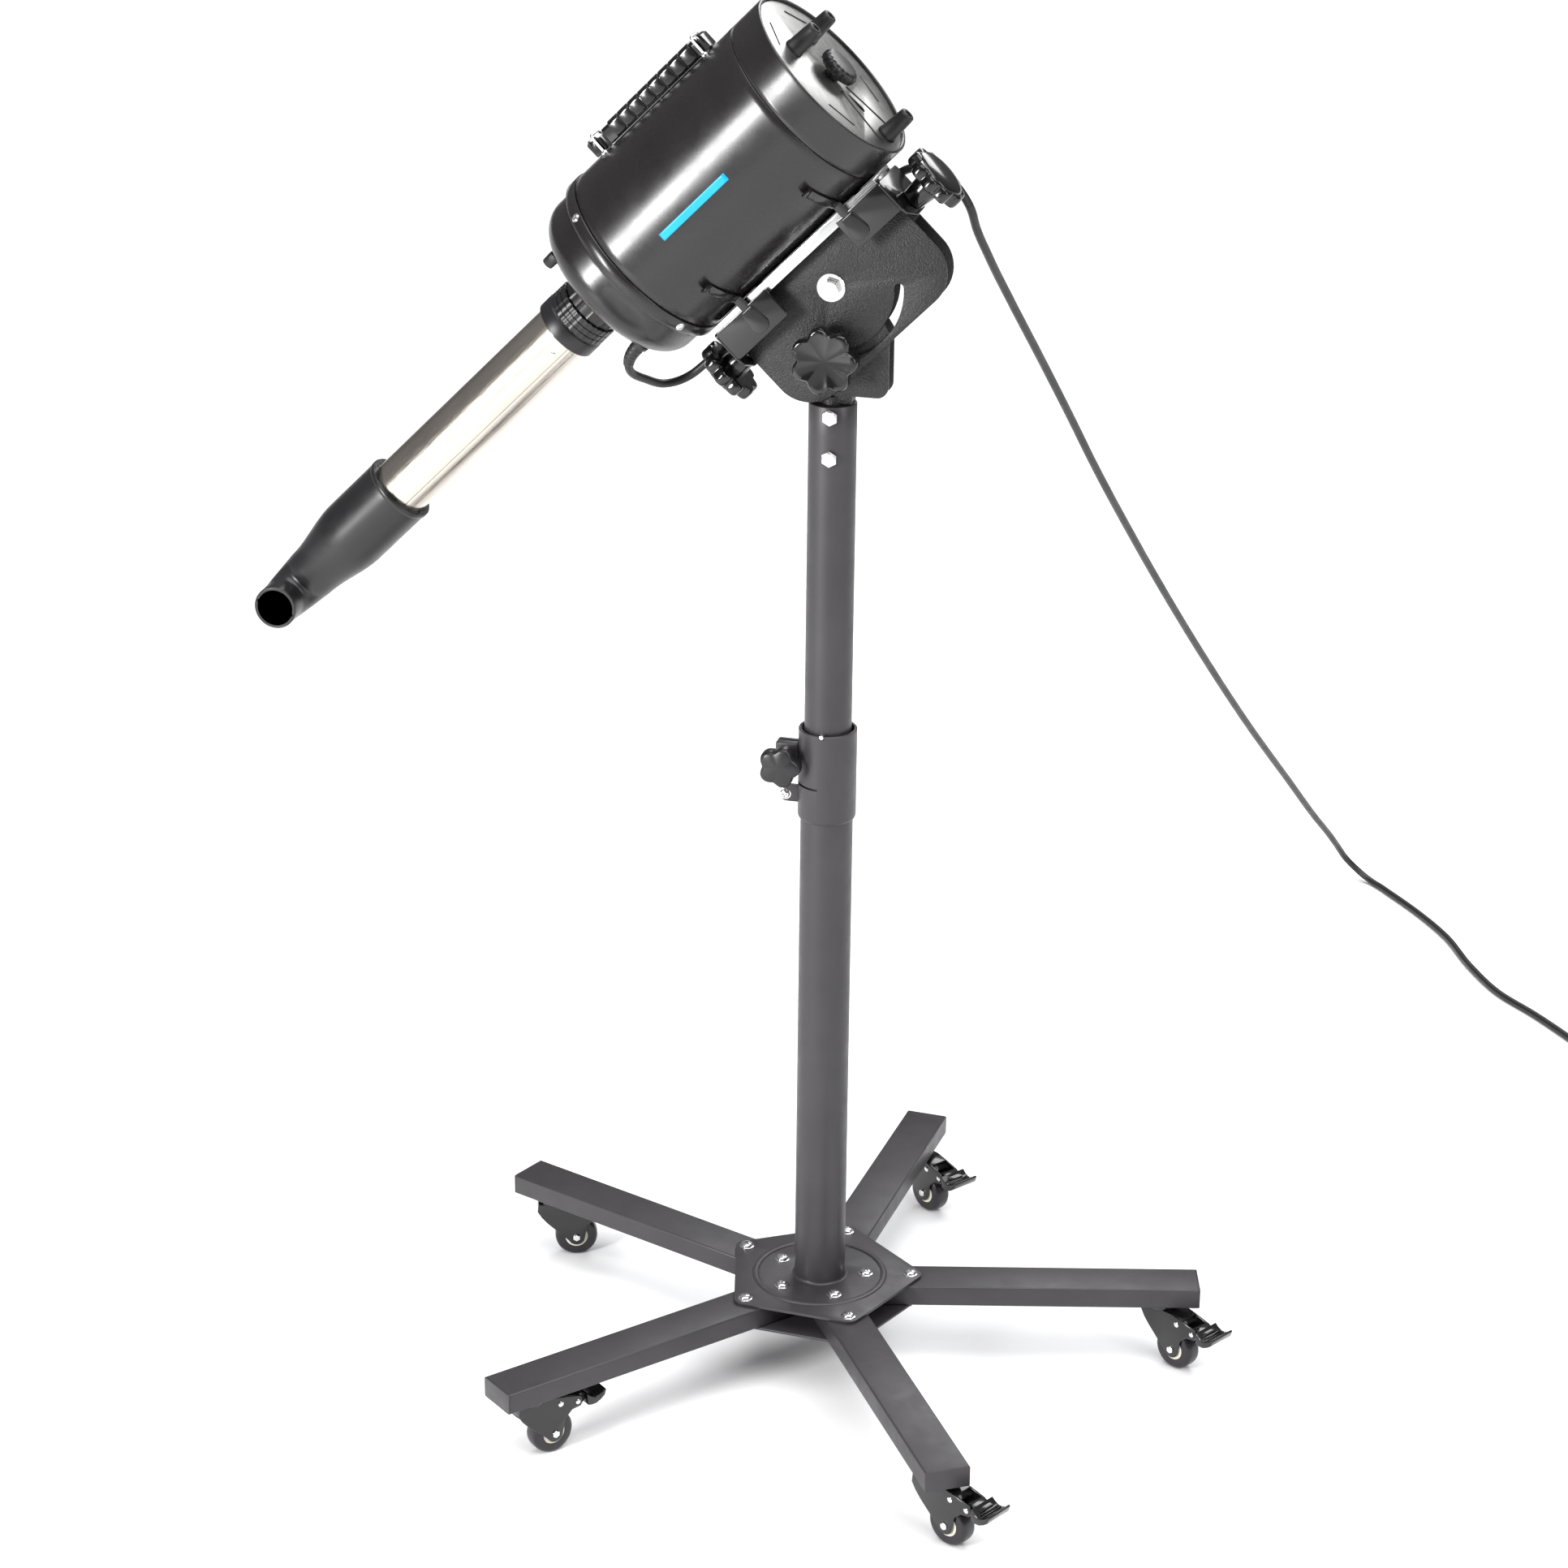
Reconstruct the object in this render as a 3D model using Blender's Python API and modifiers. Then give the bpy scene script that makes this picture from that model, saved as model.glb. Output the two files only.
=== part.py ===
"""A pet dryer: a tilting blower canister on a height-adjustable stand with five braked casters.

Metres, +Z up. The origin is on the floor under the column's axis. The canister's rear points to +X.
"""
import math

import bmesh
import bpy
import numpy as np
from mathutils import Matrix, Vector

# ---- Driving sizes ----------------------------------------------------------
GAP = 0.0003                     # clearance between neighbouring pieces

LEG_COUNT = 5
LEG_TURN = math.radians(13.34)    # heading of the first leg
LEG_REACH = 0.430                # column axis to the end of a leg
LEG_START = 0.0360
LEG_WIDTH = 0.050
LEG_HEIGHT = 0.024
LEG_WALL = 0.002
HUB_THICK = 0.003
HUB_BOLT_CIRCLE = 0.103
HUB_CORNER = 0.0125

WHEEL_RADIUS = 0.025
WHEEL_WIDTH = 0.020
CASTER_HEIGHT = 0.076
CASTER_RADIUS = 0.390            # column axis to a caster's swivel axis
CASTER_TRAIL = 0.026
CASTER_HEADING = [-31.5, -36.5, 18.5, 48.5, -28.5]   # degrees each caster trails from +X
AXLE_RADIUS = 0.0028
STEM_RADIUS = 0.0050
RACE_RADIUS = 0.019

LOWER_RADIUS = 0.0284
LOWER_WALL = 0.0025
LOWER_TOP = 0.745
UPPER_RADIUS = 0.0254
UPPER_WALL = 0.0022
UPPER_BOTTOM = 0.400
UPPER_TOP = 1.1293
COLLAR_RADIUS = 0.0315
COLLAR_BOTTOM = 0.664
COLLAR_TOP = 0.767
CLAMP_SCREW_X = -0.0445
CLAMP_SCREW_Z = 0.730

PIVOT_Z = 1.2546                 # tilt axis above the floor
TILT = math.radians(45.4)        # canister axis above the horizon at rest
KNOB_DROP = 0.0706               # tilt axis to the clamping knob's bolt
MAST_PLATE_IN = 0.0105
MAST_PLATE_OUT = 0.0135
TILT_PLATE_IN = 0.0143
TILT_PLATE_OUT = 0.0168
SLOT_HALF = 0.0052
SLOT_SWEEP = 48                  # degrees each way from the plate's middle
CRADLE_FRONT = -0.1160
CRADLE_REAR = 0.1120
WEB_LOW = 0.0375
WEB_TOP = 0.0400
TRAY_TOP = 0.0522
JAW_FACE = 0.1180                # middle of the cradle to a jaw's end plate
JAW_SCREW_Z = 0.0085

CAN_Z = 0.1555                   # tilt axis to the canister's axis
CAN_RADIUS = 0.1030
CAN_WALL = 0.0025
CAN_FRONT = -0.1225
CAN_REAR = 0.1098
BAND_LENGTH = 0.0137
DOME_RADIUS = 0.0985
DOME_FRONT = -0.1850
REAR_RIM = 0.1502
PANEL_X = 0.1475
PANEL_THICK = 0.0025
SPIGOT_RADIUS = 0.0325
SPIGOT_FRONT = -0.2300
RING_RADIUS = 0.0355
RING_REAR = -0.2145
RING_FRONT = -0.2535
PIPE_RADIUS = 0.0325
PIPE_WALL = 0.0012
PIPE_END = -0.545
SPOUT_RADIUS = 0.0230
NOZZLE_WALL = 0.0025
SWITCH_SPOT = (-0.045, 0.2165)   # across and above, on the dome's flat face
GLAND_SPOT = (-0.0360, 0.0915)

CORD_RADIUS = 0.0045
CORD_STEPS = 1                   # tube points for each leg of a route
COIL_OUTER = 0.0540               # two turns, one on the other
COIL_INNER = 0.0450
COIL_TOP = 0.0186
COIL_CENTRE = (0.9098, 0.9517)    # so that the floor run meets the coil along its tangent
PLUG_Z = 0.0138

# Cord routes by hand. In the head's frame: out of the gland, round and along behind the cradle.
BOOT_ROUTE = [
    (-0.1895, -0.0360, 0.0915), (-0.1996, -0.0350, 0.0907), (-0.2085, -0.0320, 0.0885),
    (-0.2162, -0.0273, 0.0850),
]
LEAD_ROUTE = [
    (-0.2171, -0.0266, 0.0845), (-0.2220, -0.0212, 0.0804), (-0.2257, -0.0140, 0.0751),
    (-0.2270, -0.0063, 0.0694), (-0.2270, 0.0053, 0.0607), (-0.2270, 0.0169, 0.0521),
    (-0.2257, 0.0246, 0.0463), (-0.2220, 0.0318, 0.0410), (-0.2162, 0.0379, 0.0364),
    (-0.2085, 0.0426, 0.0329), (-0.1996, 0.0456, 0.0307), (-0.1900, 0.0466, 0.0299),
    (-0.1650, 0.0462, 0.0295), (-0.1350, 0.0455, 0.0290), (-0.1000, 0.0449, 0.0290),
    (-0.0500, 0.0449, 0.0290), (0.0000, 0.0449, 0.0290), (0.0400, 0.0449, 0.0295),
    (0.0700, 0.0449, 0.0325), (0.0900, 0.0460, 0.0355), (0.1080, 0.0480, 0.0370),
    (0.1250, 0.0505, 0.0330), (0.1380, 0.0535, 0.0220), (0.1450, 0.0570, 0.0065),
    (0.1460, 0.0620, -0.0110), (0.1420, 0.0674, -0.0308),
    (0.1400, 0.0695, -0.0361),
]
# In the row frame: from the cradle down behind the stand, then along the floor.
SPAN_ROUTE = [
    (0.1240, 0.0695, 1.3290), (0.1257, 0.0721, 1.3239), (0.1290, 0.0860, 1.3020), (0.1370, 0.1180, 1.2640),
    (0.1519, 0.1951, 1.1900),
]
DROP_ROUTE = [
    (0.1519, 0.1951, 1.1900), (0.1727, 0.2960, 1.0940), (0.1893, 0.3763, 1.0160),
    (0.2035, 0.4449, 0.9480), (0.2328, 0.5869, 0.8150), (0.2615, 0.7259, 0.6900),
    (0.2957, 0.8914, 0.5470), (0.3282, 1.0491, 0.4160), (0.3713, 1.2577, 0.2510),
    (0.3972, 1.3831, 0.1520), (0.4150, 1.4600, 0.0920), (0.4273, 1.5089, 0.0496),
    (0.4312, 1.5175, 0.0396), (0.4383, 1.5229, 0.0291), (0.4480, 1.5245, 0.0195),
    (0.4591, 1.5220, 0.0116), (0.4703, 1.5159, 0.0066), (0.4804, 1.5067, 0.0048),
    (0.5080, 1.4730, 0.0048), (0.5540, 1.4120, 0.0048), (0.5980, 1.3420, 0.0048),
    (0.6380, 1.2520, 0.0048), (0.6840, 1.1720, 0.0048), (0.7370, 1.1140, 0.0048),
    (0.7840, 1.0560, 0.0048), (0.8220, 1.0060, 0.0048), (0.8430, 0.9710, 0.0048),
    (0.8518, 0.9548, 0.0048),
]

CONTAINER = "pet_dryer_stand"


# ---- Scene helpers ----------------------------------------------------------
def clear_scene():
    for obj in list(bpy.data.objects):
        bpy.data.objects.remove(obj, do_unlink=True)


def new_collection(name):
    group = bpy.data.collections.new(name)
    bpy.context.scene.collection.children.link(group)
    return group


def material(name, colour, roughness, metallic=0.0):
    mat = bpy.data.materials.new(name)
    mat.use_nodes = True
    shader = mat.node_tree.nodes["Principled BSDF"]
    shader.inputs["Base Color"].default_value = (*colour, 1.0)
    shader.inputs["Roughness"].default_value = roughness
    shader.inputs["Metallic"].default_value = metallic
    mat.diffuse_color = (*colour, 1.0)
    return mat


def link(obj):
    PARTS.objects.link(obj)
    return obj


def from_bmesh(bm, name):
    mesh = bpy.data.meshes.new(name)
    bmesh.ops.recalc_face_normals(bm, faces=bm.faces)
    bm.to_mesh(mesh)
    bm.free()
    return link(bpy.data.objects.new(name, mesh))


def baked(obj, name):
    """Replaces an object by its evaluated mesh, welded, in the same place."""
    bpy.context.view_layer.update()
    graph = bpy.context.evaluated_depsgraph_get()
    mesh = bpy.data.meshes.new_from_object(obj.evaluated_get(graph))
    bm = bmesh.new()
    bm.from_mesh(mesh)
    bmesh.ops.transform(bm, matrix=obj.matrix_world, verts=bm.verts)
    bmesh.ops.remove_doubles(bm, verts=bm.verts, dist=1e-6)
    bpy.data.objects.remove(obj, do_unlink=True)
    return from_bmesh(bm, name)


def combined(base, others, operation):
    """Boolean of base with each other object; the others are used up."""
    name = base.name
    for other in others:
        tool = base.modifiers.new(operation.lower(), "BOOLEAN")
        tool.operation = operation
        tool.solver = "EXACT"
        tool.object = other
        other.hide_render = True
        other.display_type = "WIRE"
    result = baked(base, name + "_baked")
    for other in others:
        bpy.data.objects.remove(other, do_unlink=True)
    result.name = name
    return result


def joined(base, *others):
    return combined(base, others, "UNION")


def cut(base, *others):
    return combined(base, others, "DIFFERENCE")


def moved(obj, matrix):
    obj.data.transform(matrix)
    return obj


def copy_of(obj, name):
    twin = bpy.data.objects.new(name, obj.data.copy())
    return link(twin)


# ---- Shape helpers ----------------------------------------------------------
AXIS_TURN = {
    "Z": Matrix.Identity(4),
    "X": Matrix.Rotation(math.radians(90), 4, "Y"),
    "Y": Matrix.Rotation(math.radians(-90), 4, "X"),
}


def box(name, low, high):
    bm = bmesh.new()
    bmesh.ops.create_cube(bm, size=1.0)
    low, high = Vector(low), Vector(high)
    bmesh.ops.scale(bm, vec=high - low, verts=bm.verts)
    bmesh.ops.translate(bm, vec=(high + low) / 2, verts=bm.verts)
    return from_bmesh(bm, name)


def rod(name, radius, start, end, sides=16, end_radius=None):
    """A cylinder, or a cone, between two points."""
    start, end = Vector(start), Vector(end)
    along = end - start
    bm = bmesh.new()
    bmesh.ops.create_cone(
        bm, cap_ends=True, segments=sides, radius1=radius,
        radius2=radius if end_radius is None else end_radius, depth=along.length)
    turn = along.to_track_quat("Z", "Y").to_matrix().to_4x4()
    bmesh.ops.transform(bm, matrix=Matrix.Translation((start + end) / 2) @ turn, verts=bm.verts)
    return from_bmesh(bm, name)


def turned(name, profile, sides=32, axis="Z", at=(0, 0, 0)):
    """Turns a closed (radius, height) profile about an axis with the Screw modifier."""
    bm = bmesh.new()
    verts = [bm.verts.new((radius, 0.0, height)) for radius, height in profile]
    for first, second in zip(verts, verts[1:]):
        bm.edges.new((first, second))
    on_axis = profile[0][0] == 0.0 and profile[-1][0] == 0.0
    if not on_axis:
        bm.edges.new((verts[-1], verts[0]))
    obj = from_bmesh(bm, name)
    screw = obj.modifiers.new("turn", "SCREW")
    screw.axis = "Z"
    screw.angle = math.tau
    screw.steps = sides
    screw.render_steps = sides
    screw.use_merge_vertices = True
    screw.merge_threshold = 1e-5
    obj.matrix_world = Matrix.Translation(at) @ AXIS_TURN[axis]
    return baked(obj, name)


def tube_profile(inner, outer, low, high):
    return [(outer, high), (outer, low), (inner, low), (inner, high)]


def tube(name, inner, outer, low, high, sides=32, axis="Z", at=(0, 0, 0)):
    return turned(name, tube_profile(inner, outer, low, high), sides, axis, at)


def arc(centre, radius, start, end, count):
    """Points on an arc, angles in degrees."""
    angles = np.radians(np.linspace(start, end, count))
    return [(centre[0] + radius * math.cos(a), centre[1] + radius * math.sin(a)) for a in angles]


def rounded(corners, steps=5):
    """An outline from (x, y, fillet radius) corners."""
    points = []
    count = len(corners)
    for index, (x, y, radius) in enumerate(corners):
        here = Vector((x, y))
        before = (Vector(corners[index - 1][:2]) - here).normalized()
        after = (Vector(corners[(index + 1) % count][:2]) - here).normalized()
        if radius == 0.0:
            points.append((x, y))
            continue
        half = before.angle(after) / 2
        reach = radius / math.tan(half)
        centre = here + (before + after).normalized() * radius / math.sin(half)
        first = here + before * reach - centre
        last = here + after * reach - centre
        sweep = first.angle_signed(last)
        for step in range(steps + 1):
            spoke = first.copy()
            spoke.rotate(Matrix.Rotation(-sweep * step / steps, 2))
            points.append(tuple(centre + spoke))
    return points


def lobed(radius, depth, lobes, per_lobe=6):
    """A star-knob outline with round lobes and sharp valleys."""
    points = []
    for index in range(lobes * per_lobe):
        angle = math.tau * index / (lobes * per_lobe)
        dip = 1.0 - abs(math.cos(lobes * angle / 2))
        reach = radius - depth * dip
        points.append((reach * math.cos(angle), reach * math.sin(angle)))
    return points


def plate(name, outlines, low, high, plane="XY"):
    """Outlines (the first outside, the rest holes) extruded between two heights.

    plane XZ extrudes along Y, and plane YZ along X.
    """
    curve = bpy.data.curves.new(name, "CURVE")
    curve.dimensions = "2D"
    curve.fill_mode = "BOTH"
    curve.extrude = (high - low) / 2
    for outline in outlines:
        spline = curve.splines.new("POLY")
        spline.points.add(len(outline) - 1)
        spline.use_cyclic_u = True
        for point, (x, y) in zip(spline.points, outline):
            point.co = (x, y, 0.0, 1.0)
    obj = link(bpy.data.objects.new(name, curve))
    middle = (low + high) / 2
    if plane == "XZ":
        obj.matrix_world = Matrix.Translation((0, middle, 0)) @ Matrix.Rotation(math.radians(90), 4, "X")
    elif plane == "YZ":
        swap = Matrix(((0, 0, 1, 0), (1, 0, 0, 0), (0, 1, 0, 0), (0, 0, 0, 1)))
        obj.matrix_world = Matrix.Translation((middle, 0, 0)) @ swap
    else:
        obj.matrix_world = Matrix.Translation((0, 0, middle))
    return baked(obj, name)


def smooth_route(route, steps):
    """Points on a smooth curve through the route, with the same number on each leg."""
    pts = [Vector(p) for p in route]
    pts = [2 * pts[0] - pts[1]] + pts + [2 * pts[-1] - pts[-2]]
    line = []
    for a, b, c, d in zip(pts, pts[1:], pts[2:], pts[3:]):
        leg = (c - b).length
        leave = ((b - a) / (b - a).length * leg + (c - b) * (b - a).length / leg) * leg
        leave = leave / ((b - a).length + leg)
        arrive = ((c - b) * (d - c).length / leg + (d - c) / (d - c).length * leg) * leg
        arrive = arrive / (leg + (d - c).length)
        for step in range(steps):
            t = step / steps
            line.append((2 * t ** 3 - 3 * t ** 2 + 1) * b + (t ** 3 - 2 * t ** 2 + t) * leave
                        + (3 * t ** 2 - 2 * t ** 3) * c + (t ** 3 - t ** 2) * arrive)
    line.append(pts[-2])
    return [tuple(p) for p in line]


def swept(name, points, radius, scales=None, resolution=2):
    """A filled tube along points; scales multiplies the radius at each point."""
    curve = bpy.data.curves.new(name, "CURVE")
    curve.dimensions = "3D"
    curve.bevel_depth = radius
    curve.bevel_resolution = resolution
    curve.use_fill_caps = True
    spline = curve.splines.new("POLY")
    spline.points.add(len(points) - 1)
    for index, (point, co) in enumerate(zip(spline.points, points)):
        point.co = (*co, 1.0)
        point.radius = 1.0 if scales is None else scales[index]
    return link(bpy.data.objects.new(name, curve))


# ---- Placing ----------------------------------------------------------------
def empty(name, parent, matrix):
    obj = link(bpy.data.objects.new(name, None))
    obj.empty_display_size = 0.02
    obj.parent = parent
    obj.matrix_local = matrix
    return obj


def place(obj, parent, mat, origin=(0, 0, 0), smooth=35):
    """Gives a piece its material, its parent and an origin on its own axis."""
    obj.data.transform(Matrix.Translation(-Vector(origin)))
    obj.parent = parent
    obj.matrix_local = Matrix.Translation(origin)
    obj.data.materials.clear()
    obj.data.materials.append(mat)
    obj.data.shade_smooth()
    obj.data.set_sharp_from_angle(angle=math.radians(smooth))
    return obj


def place_curve(obj, parent, mat):
    obj.parent = parent
    obj.data.materials.append(mat)
    return obj


# ---- Stand ------------------------------------------------------------------
def hub_outline():
    outline = []
    for index in range(LEG_COUNT):
        angle = LEG_TURN + index * math.tau / LEG_COUNT
        centre = (HUB_BOLT_CIRCLE * math.cos(angle), HUB_BOLT_CIRCLE * math.sin(angle))
        outline += arc(centre, HUB_CORNER, math.degrees(angle) - 36, math.degrees(angle) + 36, 5)
    return outline


def ring_points(radius, centre=(0, 0), count=28):
    return arc(centre, radius, 0, 360 - 360 / count, count)


def build_hub(parent):
    top = CASTER_HEIGHT + LEG_HEIGHT + GAP
    face = top + HUB_THICK
    upper = plate("hub_top_plate", [hub_outline(), ring_points(LOWER_RADIUS + GAP)], top, face)
    bead = turned("bead", [(0.0726, face + 0.0018), (0.0746, face - 0.001), (0.0706, face - 0.001)], 24)
    place(joined(upper, bead), parent, BLACK_STEEL)
    low = CASTER_HEIGHT - GAP
    lower = plate("hub_bottom_plate", [hub_outline()], low - HUB_THICK, low)
    place(lower, parent, BLACK_STEEL)


def build_leg(parent, index):
    """A rectangular tube, closed at its outer end, with a hole for the caster's stem."""
    low, high = CASTER_HEIGHT, CASTER_HEIGHT + LEG_HEIGHT
    half = LEG_WIDTH / 2
    leg = box(f"leg_{index + 1}", (LEG_START, -half, low), (LEG_REACH, half, high))
    edge = leg.modifiers.new("edge", "BEVEL")
    edge.width = 0.0012
    edge.segments = 1
    leg = baked(leg, leg.name)
    leg.name = f"leg_{index + 1}"
    hollow = box("hollow", (LEG_START - 0.01, -half + LEG_WALL, low + LEG_WALL),
                 (LEG_REACH - 0.004, half - LEG_WALL, high - LEG_WALL))
    hole = rod("hole", STEM_RADIUS + GAP, (CASTER_RADIUS, 0, low - 0.01), (CASTER_RADIUS, 0, low + 0.01))
    leg = cut(leg, hollow, hole)
    place(leg, parent, BLACK_STEEL)
    leg.matrix_local = Matrix.Rotation(LEG_TURN + index * math.tau / LEG_COUNT, 4, "Z")


def build_column(parent):
    lower = tube("lower_tube", LOWER_RADIUS - LOWER_WALL, LOWER_RADIUS, CASTER_HEIGHT, LOWER_TOP, 28)
    place(lower, parent, BLACK_STEEL)


def build_collar(parent):
    """A split clamp on the lower tube; a notch in its top takes the upper tube's stop pin."""
    inner = LOWER_RADIUS + GAP
    profile = [(COLLAR_RADIUS, COLLAR_TOP), (COLLAR_RADIUS, COLLAR_BOTTOM + 0.003),
               (inner + 0.0012, COLLAR_BOTTOM), (inner, COLLAR_BOTTOM), (inner, COLLAR_TOP)]
    collar = turned("clamp_collar", profile, 28)
    inside = -inner - 0.0012
    ears = box("ears", (CLAMP_SCREW_X - 0.0115, -0.0085, 0.712), (inside, 0.0085, 0.748))
    lug = box("lug", (CLAMP_SCREW_X - 0.005, -0.0080, 0.680), (inside, -0.0020, 0.698))
    collar = joined(collar, ears, lug)
    split = box("split", (CLAMP_SCREW_X - 0.02, -0.0025, 0.7050), (-0.02, 0.0025, COLLAR_TOP + 0.01))
    relief = box("relief", (-0.0400, -0.040, 0.7035), (-0.0040, 0.0025, 0.7065))
    notch = box("notch", (-0.0029, -0.045, 0.7637), (0.0029, 0.045, COLLAR_TOP + 0.01))
    screw_hole = rod("screw_hole", 0.0033, (CLAMP_SCREW_X, -0.02, CLAMP_SCREW_Z),
                     (CLAMP_SCREW_X, 0.02, CLAMP_SCREW_Z), 12)
    place(cut(collar, split, relief, notch, screw_hole), parent, BLACK_STEEL)


def build_height_knob(parent):
    knob = plate("height_knob", [lobed(0.0235, 0.0055, 5)], -0.0415, -0.0255, "XZ")
    neck = rod("neck", 0.0070, (0, -0.0265, 0), (0, -0.0085 - GAP, 0), 16)
    screw = rod("screw", 0.0029, (0, -0.0200, 0), (0, 0.0120, 0), 12)
    knob = place(joined(knob, neck, screw), parent, BLACK_PLASTIC)
    knob.matrix_local = Matrix.Translation((CLAMP_SCREW_X, 0, CLAMP_SCREW_Z))


def caster_fork_mesh():
    """One fork in its own frame: swivel axis on Z, wheel trailing along +X, floor at zero."""
    top = CASTER_HEIGHT - GAP
    outer = 0.0135
    axle = (CASTER_TRAIL, WHEEL_RADIUS)
    outline = [(-0.0190, 0.0700), (-0.0200, 0.0600), (-0.0080, 0.0440), (0.0080, 0.0290)]
    outline += arc(axle, 0.0100, 210, 330, 5)
    outline += [(0.0390, 0.0400), (0.0480, 0.0480), (0.0585, 0.0495), (0.0625, 0.0550),
                (0.0590, 0.0620), (0.0400, 0.0670), (0.0250, 0.0700)]
    fork = plate("fork", [outline], -outer, outer, "XZ")
    inner = WHEEL_WIDTH / 2 + 0.0008
    wheel_room = box("wheel_room", (-0.0020, -inner, -0.01), (0.09, inner, 0.0525))
    pedal_room = box("pedal_room", (0.0400, -inner, 0.03), (0.09, inner, 0.09))
    fork = cut(fork, wheel_room, pedal_room)
    race = turned("race", [(0.0, top), (RACE_RADIUS, top), (RACE_RADIUS, 0.0725),
                           (RACE_RADIUS - 0.002, 0.0690), (0.0, 0.0690)], 16)
    stem = rod("stem", STEM_RADIUS, (0, 0, 0.0720), (0, 0, 0.0925), 10)
    shaft_end = outer + 0.002
    shaft = rod("shaft", AXLE_RADIUS, (axle[0], -shaft_end, axle[1]), (axle[0], shaft_end, axle[1]), 8)
    pin = rod("pin", 0.0020, (0.0550, -outer - 0.001, 0.0560), (0.0550, outer + 0.001, 0.0560), 8)
    return joined(fork, race, stem, shaft, pin)


def wheel_mesh():
    half = WHEEL_WIDTH / 2
    bore = AXLE_RADIUS + GAP
    profile = [(bore, half), (WHEEL_RADIUS - 0.0025, half), (WHEEL_RADIUS, half - 0.0035)]
    mirrored = [(radius, -height) for radius, height in reversed(profile)]
    return turned("wheel", profile + mirrored, 24, "Y", (CASTER_TRAIL, 0, WHEEL_RADIUS))


def pedal_mesh():
    """The foot brake: a core that turns on the fork's pin, and a wide curved tread."""
    inner = WHEEL_WIDTH / 2 + 0.0003
    core_outline = [(0.0500, 0.0562), (0.0520, 0.0522), (0.0560, 0.0510), (0.0600, 0.0530),
                    (0.0720, 0.0545), (0.0720, 0.0600), (0.0600, 0.0635), (0.0520, 0.0610)]
    hole = ring_points(0.0020 + GAP, (0.0550, 0.0560), 10)
    core = plate("core", [core_outline, hole], -inner, inner, "XZ")
    tread_outline = [(0.0645, 0.0640), (0.0650, 0.0500), (0.0760, 0.0490), (0.0870, 0.0560),
                     (0.0890, 0.0625), (0.0870, 0.0635), (0.0810, 0.0590), (0.0740, 0.0575)]
    tread = plate("tread", [tread_outline], -0.0180, 0.0180, "XZ")
    return joined(core, tread)


def build_casters(parent):
    fork, wheel, pedal = caster_fork_mesh(), wheel_mesh(), pedal_mesh()
    for index in range(LEG_COUNT):
        turn = LEG_TURN + index * math.tau / LEG_COUNT
        spot = Vector((CASTER_RADIUS * math.cos(turn), CASTER_RADIUS * math.sin(turn), 0))
        heading = Matrix.Rotation(math.radians(CASTER_HEADING[index]), 4, "Z")
        swivel = empty(f"swivel_axis_{index + 1}", parent, Matrix.Translation(spot) @ heading)
        place(copy_of(fork, f"fork_{index + 1}"), swivel, GLOSS_BLACK)
        place(copy_of(wheel, f"wheel_{index + 1}"), swivel, TYRE, (CASTER_TRAIL, 0, WHEEL_RADIUS))
        place(copy_of(pedal, f"brake_pedal_{index + 1}"), swivel, GLOSS_BLACK, (0.055, 0, 0.056))
    for obj in (fork, wheel, pedal):
        bpy.data.objects.remove(obj, do_unlink=True)


# ---- Mast -------------------------------------------------------------------
def build_mast(parent):
    """The upper tube, with a cross pin that rests in the collar's notch when it is right down."""
    upper = tube("upper_tube", UPPER_RADIUS - UPPER_WALL, UPPER_RADIUS, UPPER_BOTTOM, UPPER_TOP, 28)
    stop = rod("stop", 0.0025, (0, -0.0325, 0.7665), (0, 0.0325, 0.7665), 12)
    place(joined(upper, stop), parent, BLACK_STEEL)


def mast_plate_outline():
    low = 1.1400 - PIVOT_Z
    return rounded([(-0.042, low, 0.012), (0.061, low, 0.012), (0.061, -0.045, 0.012),
                    (0.030, 0.002, 0.010), (0.030, 0.030, 0.0290), (-0.030, 0.030, 0.0290),
                    (-0.030, -0.020, 0.010), (-0.042, -0.045, 0.010)], 3)


def build_mast_bracket(parent):
    """Two plates on a neck, whose plug is bolted into the top of the upper tube."""
    holes = [ring_points(0.0055 + GAP, (0, 0), 16), ring_points(0.0045 + GAP, (0, -KNOB_DROP), 14)]
    front = plate("mast_bracket", [mast_plate_outline()] + holes, -MAST_PLATE_OUT, -MAST_PLATE_IN, "XZ")
    rear = plate("rear", [mast_plate_outline()] + holes, MAST_PLATE_IN, MAST_PLATE_OUT, "XZ")
    low = UPPER_TOP + GAP - PIVOT_Z
    neck = box("neck", (-0.0220, -MAST_PLATE_OUT, low), (0.0220, MAST_PLATE_OUT, low + 0.0154))
    plug = rod("plug", UPPER_RADIUS - UPPER_WALL - GAP, (0, 0, low - 0.075), (0, 0, low - 0.0006), 20)
    core = rod("core", 0.0130, (0, 0, low - 0.020), (0, 0, low + 0.008), 16)
    bracket = place(joined(front, rear, neck, plug, core), parent, TEXTURED_BLACK)
    bracket.matrix_local = Matrix.Translation((0, 0, PIVOT_Z))


def build_pivot_bolt(parent):
    half = TILT_PLATE_OUT + GAP
    shank = rod("pivot_bolt", 0.0055, (0, -half - 0.003, 0), (0, half + 0.010, 0), 16)
    washer = rod("washer", 0.0150, (0, -half - 0.002, 0), (0, -half, 0), 20)
    head = rod("head", 0.0105, (0, -half - 0.0092, 0), (0, -half - 0.001, 0), 6)
    nut = rod("nut", 0.0105, (0, half, 0), (0, half + 0.008, 0), 6)
    bolt = place(joined(shank, washer, head, nut), parent, ZINC)
    bolt.matrix_local = Matrix.Translation((0, 0, PIVOT_Z))


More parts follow.
